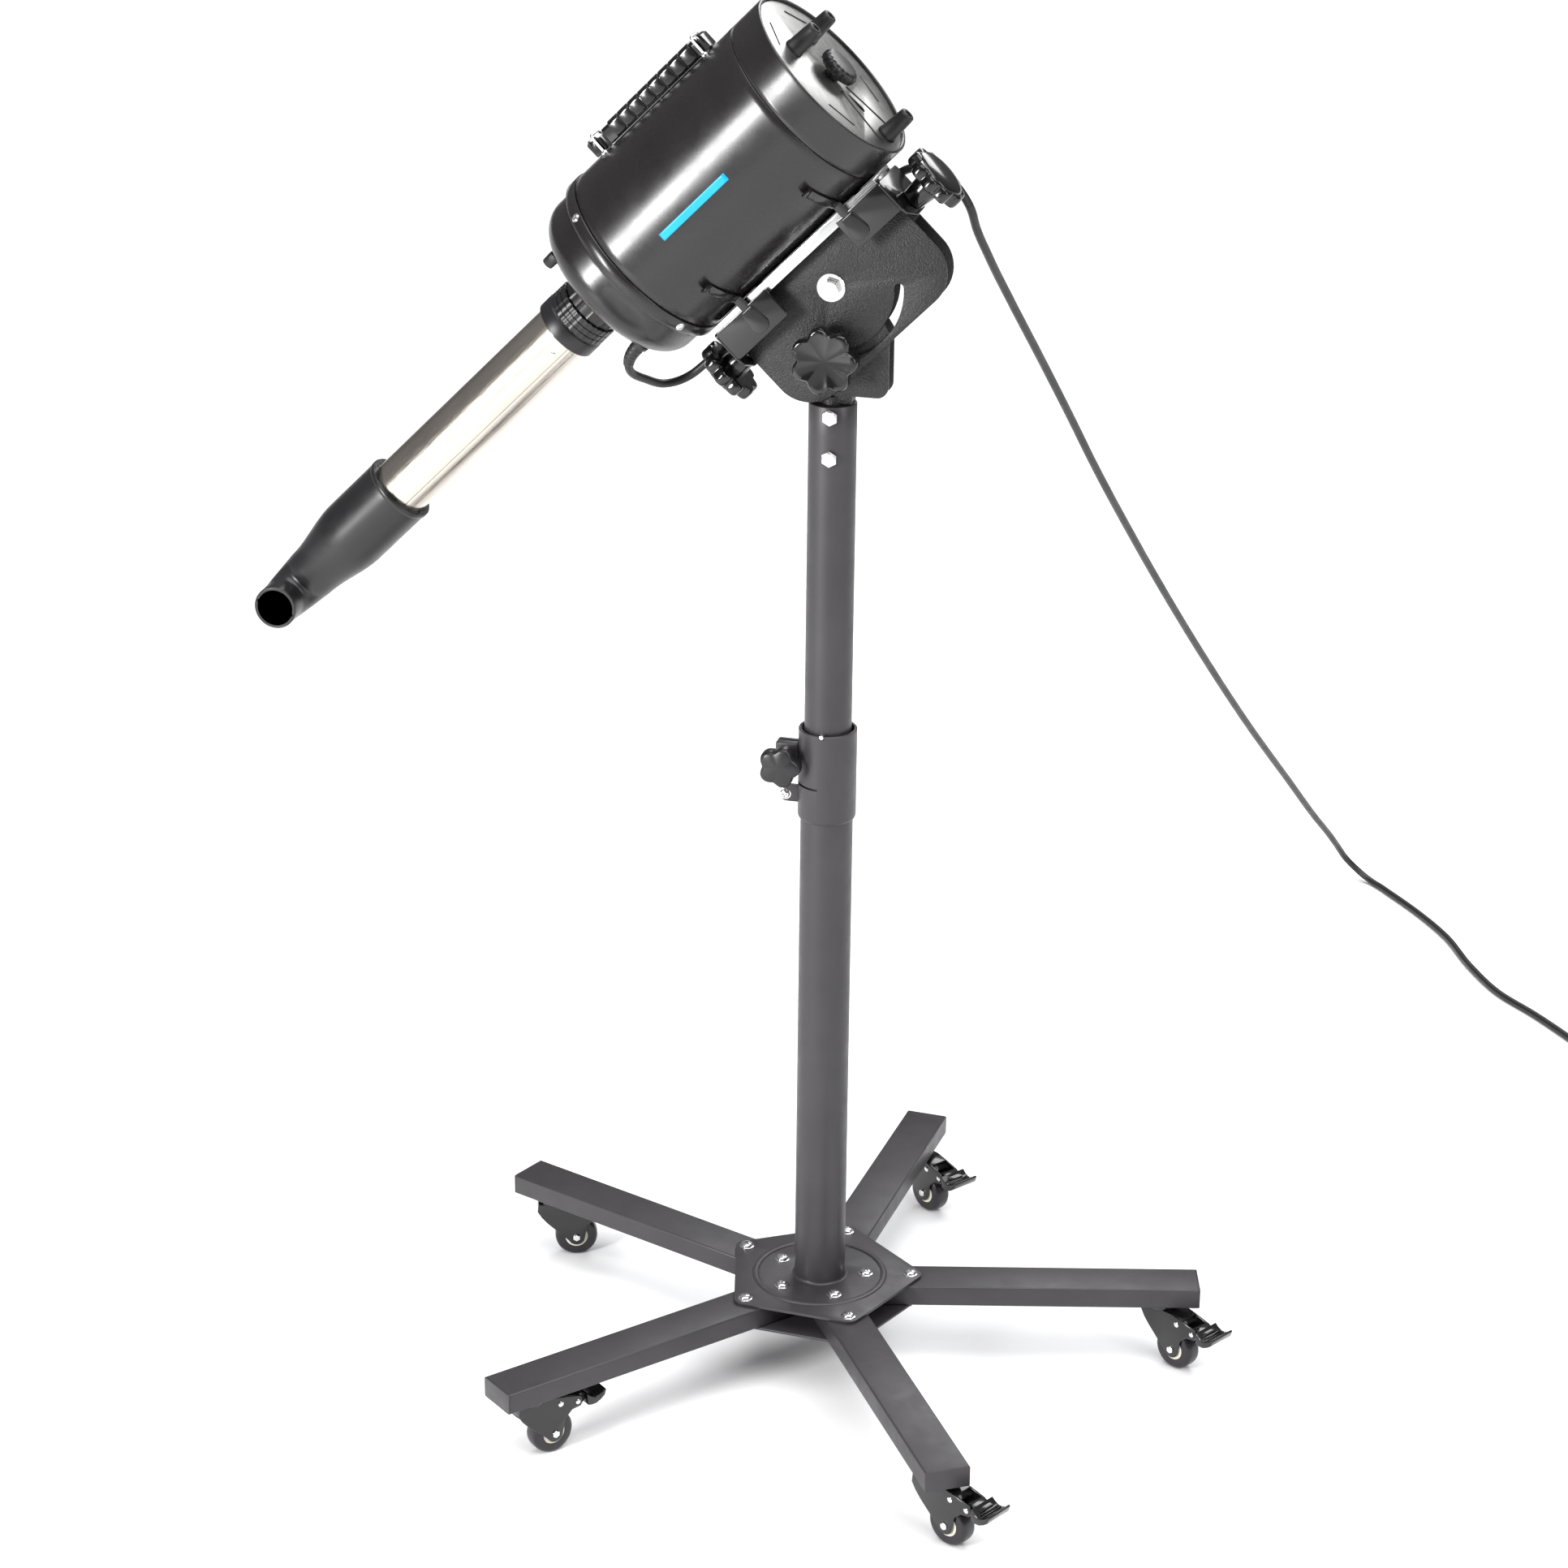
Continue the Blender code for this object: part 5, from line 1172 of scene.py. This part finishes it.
def add_rear_cap():
    outer, inner = CAN_RADIUS, CAN_RADIUS - CAN_WALL
    front, seat = CAN_REAR + GAP, PANEL_X - 0.0028
    rim = arc((REAR_RIM - 0.0017, outer - 0.0017), 0.0017, 90, 0, 8)
    rim += arc((REAR_RIM - 0.0010, 0.0990 + 0.0010), 0.0010, 0, -90, 6)
    profile = [(front, inner), (front, outer - 0.0009), (front + 0.0009, outer)]
    profile += [(front + 0.0009 + 0.0350 * step / 8, outer) for step in range(1, 9)]
    profile += rim + [(seat, 0.0990), (seat, 0.0935), (seat - 0.003, 0.0935), (seat - 0.004, inner)]
    piece("rear_hoop", [lathe(profile, closed=True, sides=160)], "satin_black", "head", CAN, ["rear_cap"])


def lid_fold(start, end, width=0.0011):
    """A narrow raised fold on the lid, between two (y, rise) points."""
    start, end = Vector((PANEL_X, *start)), Vector((PANEL_X, *end))
    return rod(width, start, end, 0.0003, 12)


def add_rear_panel():
    """The satin lid, with a keyhole and pressed folds about it; the folds are coloured black as painted shade
    in the lid's creases.
    """
    keyhole = arc((0, -0.045), 0.0045, 180, 360, 17) + [(0.0022, -0.026), (-0.0022, -0.026)]
    lid = plate([circle(0.0985, count=160), circle(0.0058), keyhole], PANEL_X - 0.0025, PANEL_X, "YZ", 0.0005)
    piece("filter_lid", [lid], "satin_grey", "head", CAN, ["rear_panel"])
    folds = []
    for side in (-1, 1):
        folds.append(lid_fold((side * 0.0105, -0.0185), (side * 0.0250, -0.0790)))
        folds.append(lid_fold((side * 0.0250, -0.0790), (side * 0.0180, -0.0830)))
        folds.append(lid_fold((side * 0.0560, 0.0560), (side * 0.0300, 0.0790), 0.0009))
        folds.append(lid_fold((side * 0.0700, -0.0200), (side * 0.0560, -0.0520), 0.0009))
    # The raised folds take the black moulding, far darker than the grey lid: painted shade along the creases.
    piece("filter_lid_fold_shade_lines", folds, "black_plastic", "head", CAN)


def add_filter_knob():
    """A fluted thumb nut on a post."""
    x = PANEL_X
    profile = [(x + 0.0185, 0.0), (x + 0.0185, 0.0150), (x + 0.0180, 0.0178), (x + 0.0165, 0.0198),
               (x + 0.0145, 0.0208), (x + 0.0100, 0.0208), (x + 0.0080, 0.0204), (x + 0.0066, 0.0185),
               (x + 0.0062, 0.0090), (x + GAP, 0.0085), (x + GAP, 0.0055), (x - 0.0300, 0.0055),
               (x - 0.0300, 0.0)]

    def fluted(along, angle):
        return 0.0007 * math.cos(18 * angle) if x + 0.0066 < along < x + 0.0182 else 0.0

    knob = lathe(profile, sides=180, ripple=fluted)
    piece("filter_nut", [knob], "black_plastic", "filter_knob", CAN, ["filter_knob"], 45)


def add_rear_feet():
    for index, (y, rise) in enumerate([(-0.032, 0.044), (0.032, 0.044), (0.0, -0.081)]):
        x = PANEL_X + GAP
        profile = [(x, 0.0), (x, 0.0105), (x + 0.0030, 0.0102), (x + 0.0034, 0.0097), (x + 0.0280, 0.0082),
                   (x + 0.0310, 0.0078), (x + 0.0319, 0.0068), (x + 0.0319, 0.0045), (x + 0.0290, 0.0038),
                   (x + 0.0285, 0.0)]
        foot = placed(lathe(profile, sides=64), Matrix.Translation((0, y, rise)))
        piece(f"rear_bumper_{index + 1}", [foot], "rubber_black", "head", CAN, [f"rear_foot_{index + 1}"])


def add_blower():
    """The motor and the fan wheel inside the drum."""
    flange, rim = -0.046, CAN_RADIUS - 0.0028
    profile = [(0.052, 0.0), (0.052, 0.046), (0.050, 0.050), (0.044, 0.058), (flange + 0.004, 0.058),
               (flange + 0.004, rim), (flange, rim), (flange, 0.0045), (-0.096, 0.0045), (-0.096, 0.0)]

    def finned(x, angle):
        return 0.0012 * math.cos(24 * angle) if flange + 0.006 < x < 0.045 else 0.0

    piece("motor", [lathe(profile, sides=144, ripple=finned)], "motor_grey", "head", CAN, ["blower_motor"])
    hub = [(-0.060, 0.0048), (-0.060, 0.074), (-0.063, 0.074), (-0.066, 0.018), (-0.088, 0.018),
           (-0.088, 0.0048)]
    blades = []
    for index in range(7):
        blade = block((-0.084, -0.0011, 0.015), (-0.062, 0.0011, 0.073), 0.0004)
        blades.append(placed(blade, Matrix.Rotation(index * math.tau / 7, 4, "X")))
    piece("fan_wheel", [lathe(hub, closed=True)] + blades, "bright_metal", "fan", CAN, ["impeller"])
    foam_ring = lathe([(CAN_REAR + 0.006, 0.0060), (CAN_REAR + 0.006, CAN_RADIUS - 0.0028),
                       (CAN_REAR + 0.026, CAN_RADIUS - 0.0028), (CAN_REAR + 0.026, 0.0060)], closed=True)
    piece("filter_pad", [foam_ring], "filter_foam", "head", CAN, ["air_filter"])


# ---- Outlet, pipe and nozzle ---------------------------------------------------
def add_outlet():
    """The ribbed spigot and the coupling ring with its grip ribs."""
    inner = DOME_FRONT + 0.0028

    def ribbed(x, angle):
        if RING_REAR - 0.001 < x < DOME_FRONT - 0.002:
            return 0.0010 * max(0.0, math.cos(14 * angle)) ** 6
        return 0.0

    wall = SPIGOT_RADIUS - 0.0025
    profile = [(SPIGOT_FRONT, wall), (SPIGOT_FRONT, SPIGOT_RADIUS - 0.0006),
               (SPIGOT_FRONT + 0.0006, SPIGOT_RADIUS),
               (RING_REAR, SPIGOT_RADIUS - 0.0006), (RING_REAR + 0.0005, SPIGOT_RADIUS),
               (DOME_FRONT - 0.0025, SPIGOT_RADIUS), (inner, SPIGOT_RADIUS), (inner, 0.042),
               (inner + 0.004, 0.042), (inner + 0.004, wall)]
    spigot = lathe(profile, closed=True, sides=168, ripple=ribbed)
    piece("spigot", [spigot], "black_plastic", "head", CAN, ["outlet_spigot"], 40)
    bore, radius, front = SPIGOT_RADIUS + GAP, RING_RADIUS, RING_FRONT
    outline = [(RING_REAR, bore), (RING_REAR, radius - 0.0009), (RING_REAR - 0.0009, radius)]
    for start in (0.0, 0.0068, 0.0136):
        x = RING_REAR - 0.0012 - start
        outline += [(x, radius), (x - 0.0050, radius), (x - 0.0054, radius - 0.0008),
                    (x - 0.0062, radius - 0.0008)]
    outline += [(RING_REAR - 0.0222, radius + 0.0002), (RING_REAR - 0.0230, radius + 0.0008),
                (front + 0.0012, radius + 0.0008), (front, radius - 0.0006), (front, bore)]

    def gripped(x, angle):
        return 0.00035 * math.cos(30 * angle) if RING_REAR - 0.0205 < x < RING_REAR - 0.0005 else 0.0

    ring = lathe(outline, closed=True, sides=240, ripple=gripped)
    piece("coupling", [ring], "black_plastic", "ring", CAN, ["coupling_ring"], 40)


def add_pipe():
    """The bright steel pipe, with its weld line and a rivet."""
    start, end = SPIGOT_FRONT - GAP, PIPE_END
    inner = PIPE_RADIUS - 0.0012
    rows = [(start - 0.0006 + (end - start + 0.0012) * step / 40, PIPE_RADIUS) for step in range(41)]
    profile = [(start, inner), (start, PIPE_RADIUS - 0.0005)] + rows
    profile += [(end, PIPE_RADIUS - 0.0005), (end, inner)]

    def seam(x, angle):
        turn = math.degrees(turn_from(angle, -122))
        return -0.0004 * math.exp(-(turn / 1.2) ** 2)

    pipe = lathe(profile, closed=True, sides=300, ripple=seam)
    piece("outlet_pipe", [pipe], "stainless", "steel_tube", CAN, ["steel_tube"], 40)
    seat = CAN @ Matrix.Rotation(math.radians(107), 4, "X")
    seat = seat @ Matrix.Translation((-0.2699, 0, PIPE_RADIUS - 0.0002)) @ UPRIGHT
    rivet = lathe([(0.0, 0.0), (0.0, 0.0030), (0.0006, 0.0029), (0.0012, 0.0020), (0.0012, 0.0011),
                   (0.0004, 0.0009), (0.0004, 0.0)], sides=32)
    piece("pipe_rivet", [rivet], "zinc_bolt", "steel_tube", seat)


def nozzle_line():
    """Centre line and radius: straight over the pipe, tapering, then bending to the side outlet."""
    points = []
    for step in range(13):
        points.append((-0.5175 - 0.0780 * step / 12, 0.0, 0.0389))
    for step in range(1, 9):
        share = step / 8
        ease = share * share * (3 - 2 * share)
        points.append((-0.5955 - 0.0750 * share, 0.0, 0.0389 - 0.0099 * ease))
    bend = 0.0312
    for step in range(1, 19):
        angle = math.radians(5 * step)
        across = -bend * (1 - math.cos(angle))
        points.append((-0.6705 - bend * math.sin(angle), across, 0.0290 - 0.0055 * step / 18))
    for step in range(1, 7):
        points.append((-0.7017, -bend - 0.0238 * step / 6, 0.0235 - 0.0005 * step / 6))
    return points


def shell_along(points, wall, sides=72):
    """A thin-walled tube along points, open at both ends."""
    line = [(x, y, 0.0) for x, y, radius in points]
    outer = [radius for x, y, radius in points]
    outer[0] -= 0.0005
    outer[-1] -= 0.0005
    inner = [radius - wall for radius in outer]
    outside, inside = sweep(line, outer, sides, False), sweep(line, inner, sides, False)
    bm = bmesh.new()
    bm.from_mesh(outside)
    bm.from_mesh(inside)
    rims = [edge for edge in bm.edges if len(edge.link_faces) == 1]
    bmesh.ops.bridge_loops(bm, edges=[edge for edge in rims if edge.verts[0].co.x > -0.52])
    bmesh.ops.bridge_loops(bm, edges=[edge for edge in rims if edge.is_valid and edge.verts[0].co.x < -0.52])
    return to_mesh(bm)


def add_nozzle():
    """A moulded elbow with a collar, a mould line and a rounded lip."""
    points = nozzle_line()
    body = shell_along(points, 0.0025)
    x, y, radius = points[-1]
    lip = []
    for index in range(24):
        angle = math.tau * index / 24
        lip.append((-y + 0.0013 * math.cos(angle) - 0.0012, radius - 0.0008 + 0.0013 * math.sin(angle)))
    lip = placed(lathe(lip, closed=True, sides=96), Matrix.Translation((x, 0, 0)) @ TO_NEAR_SIDE)
    collar = lathe([(-0.5175, 0.0366), (-0.5175, 0.0389), (-0.5186, 0.0397), (-0.5222, 0.0397),
                    (-0.5232, 0.0389), (-0.5232, 0.0366)], closed=True)
    sleeve = lathe([(-0.5300, PIPE_RADIUS + GAP), (-0.5300, 0.0376), (-0.5440, 0.0376),
                    (-0.5440, PIPE_RADIUS + GAP)], closed=True)
    ridge = []
    for px, py, reach in points[1:-2]:
        ridge.append((px, py, reach - 0.0002))
    flash = sweep(ridge, 0.0005, 8)
    piece("elbow_nozzle", [body, lip, collar, sleeve, flash], "black_plastic", "nozzle", CAN, ["nozzle"], 40)


# ---- Handle ------------------------------------------------------------------
def add_handle():
    """A strap handle: a grip of short links between two flared ends."""
    low = CAN_RADIUS + GAP
    parts = []
    link = 0.0152
    for index in range(8):
        x = -0.0600 + link * index
        outline = rounded([(-0.0118, low + 0.0010, 0.003), (0.0118, low + 0.0010, 0.003),
                           (0.0105, low + 0.0200, 0.0055), (-0.0105, low + 0.0200, 0.0055)], 6)
        parts.append(plate([outline], x + 0.0004, x + link - 0.0004, "YZ", 0.0011, 3))
    core = rounded([(-0.0105, low, 0.002), (0.0105, low, 0.002), (0.0095, low + 0.0185, 0.005),
                    (-0.0095, low + 0.0185, 0.005)], 5)
    parts.append(plate([core], -0.0700, 0.0660, "YZ", 0.0006))
    for start, end, tip in ((-0.0760, -0.0915, -1), (0.0635, 0.0790, 1)):
        near, far = sorted((start, end))
        base = [(near, low, 0.002), (far, low, 0.002)]
        if tip < 0:
            base += [(far, low + 0.0150, 0.001), (near + 0.0070, low + 0.0150, 0.002),
                     (near + 0.0050, low + 0.0195, 0.0008), (near, low + 0.0160, 0.002)]
        else:
            base += [(far, low + 0.0160, 0.002), (far - 0.0045, low + 0.0195, 0.0008),
                     (far - 0.0060, low + 0.0150, 0.002), (near, low + 0.0150, 0.001)]
        parts.append(plate([rounded(base, 5)], -0.0115, 0.0115, "XZ", 0.0012, 3))
    piece("strap_handle", parts, "gloss_black", "handle", CAN, ["handle_grip"])
    half, wire = 0.0145, 0.0015
    foot = math.sqrt(CAN_RADIUS ** 2 - (half + 2 * wire) ** 2) + 0.0008
    top = low + 0.0150 + 0.0040 + wire + 0.0005
    for end, x in (("front", -0.0800), ("rear", 0.0700)):
        corners = [(-half - wire, foot, 0.0), (-half, top, 0.0045), (half, top, 0.0045),
                   (half + wire, foot, 0.0)]
        line = [(x, y, z) for y, z in rounded(corners, 8)]
        bosses = []
        for side in (-1, 1):
            spot = Vector((x, side * (half + wire), foot))
            low_end, high_end = spot - Vector((0, 0, 0.0010)), spot + Vector((0, 0, 0.0022))
            bosses.append(rod(0.0042, low_end, high_end, 0.0006, 32, 0.0030))
        bail = [sweep(line, wire, 20)] + bosses
        piece(f"handle_bail_{end}", bail, "zinc_bolt", "head", CAN, [f"handle_loop_{end}"])


# ---- Studio ------------------------------------------------------------------
def add_light(name, place, target, size, power):
    data = bpy.data.lights.new(name, "AREA")
    data.shape = "RECTANGLE"
    data.size, data.size_y = size
    data.energy = power
    lamp = bpy.data.objects.new(name, data)
    bpy.context.scene.collection.objects.link(lamp)
    lamp.location = place
    lamp.rotation_euler = (Vector(target) - Vector(place)).to_track_quat("-Z", "Y").to_euler()


def add_sun(direction, strength, softness):
    """An even, very soft light from overhead; softness is the sun's width in degrees."""
    data = bpy.data.lights.new("overhead", "SUN")
    data.energy = strength
    data.angle = math.radians(softness)
    lamp = bpy.data.objects.new("overhead", data)
    bpy.context.scene.collection.objects.link(lamp)
    lamp.rotation_euler = Vector(direction).to_track_quat("-Z", "Y").to_euler()


def add_floor():
    bm = bmesh.new()
    bmesh.ops.create_grid(bm, x_segments=8, y_segments=8, size=30.0)
    mesh = bpy.data.meshes.new("floor")
    bm.to_mesh(mesh)
    bm.free()
    mat, tree, shader = node_material("studio_floor", (0.93, 0.935, 0.94), 0.85)
    cloud = noise_value(tree, coordinates(tree), 0.8, 2.0)
    colour = colour_between(tree, cloud, (0.925, 0.93, 0.935), (0.94, 0.94, 0.94))
    tree.links.new(colour, shader.inputs["Base Color"])
    mesh.materials.append(mat)
    floor = bpy.data.objects.new("floor", mesh)
    bpy.context.scene.collection.objects.link(floor)


def add_world():
    """Pale above and darker below, which dark glossy paint shows."""
    world = bpy.data.worlds.new("studio")
    bpy.context.scene.world = world
    world.use_nodes = True
    tree = world.node_tree
    background = tree.nodes["Background"]
    source = tree.nodes.new("ShaderNodeTexCoord")
    split = tree.nodes.new("ShaderNodeSeparateXYZ")
    tree.links.new(source.outputs["Generated"], split.inputs["Vector"])
    ramp = tree.nodes.new("ShaderNodeValToRGB")
    ramp.color_ramp.elements[0].position = 0.0
    ramp.color_ramp.elements[0].color = (0.26, 0.245, 0.23, 1.0)
    ramp.color_ramp.elements[1].position = 0.8
    ramp.color_ramp.elements[1].color = (0.95, 0.96, 1.0, 1.0)
    tree.links.new(split.outputs["Z"], ramp.inputs["Fac"])
    tree.links.new(ramp.outputs["Color"], background.inputs["Color"])
    background.inputs["Strength"].default_value = 0.4


def add_studio():
    add_floor()
    add_world()
    add_light("side_softbox", (-2.15, -3.05, 1.55), (-0.1, 0, 1.36), (0.75, 1.3), 150)
    add_light("right_softbox", (3.4, -1.6, 2.4), (0, 0, 0.9), (1.0, 2.0), 40)
    add_light("back_softbox", (0.4, 3.2, 3.2), (0, 0, 0.9), (2.4, 1.4), 60)
    add_sun((-0.20, 0.25, -1.0), 2.7, 60)
    bpy.context.scene.view_settings.view_transform = "Standard"


# ---- Everything --------------------------------------------------------------
add_hub()
add_legs()
add_column()
add_collar()
add_height_knob()
add_casters()
add_mast()
add_mast_bracket()
add_pivot_bolt()
add_tilt_knob()
add_tilt_bracket()
add_tray()
add_jaw("front_jaw", "jaw_front", -1, -0.045, -0.075)
add_jaw("rear_jaw", "jaw_rear", 1, 0.058, 0.072)
add_jaw_knob("front_jaw_knob", "jaw_knob_front", -1, 0.1420)
add_jaw_knob("rear_jaw_knob", "jaw_knob_rear", 1, 0.1480)
add_shell()
add_strip()
add_front_cap()
add_switch()
add_gland()
add_rear_cap()
add_rear_panel()
add_filter_knob()
add_rear_feet()
add_blower()
add_outlet()
add_pipe()
add_nozzle()
add_handle()
add_studio()
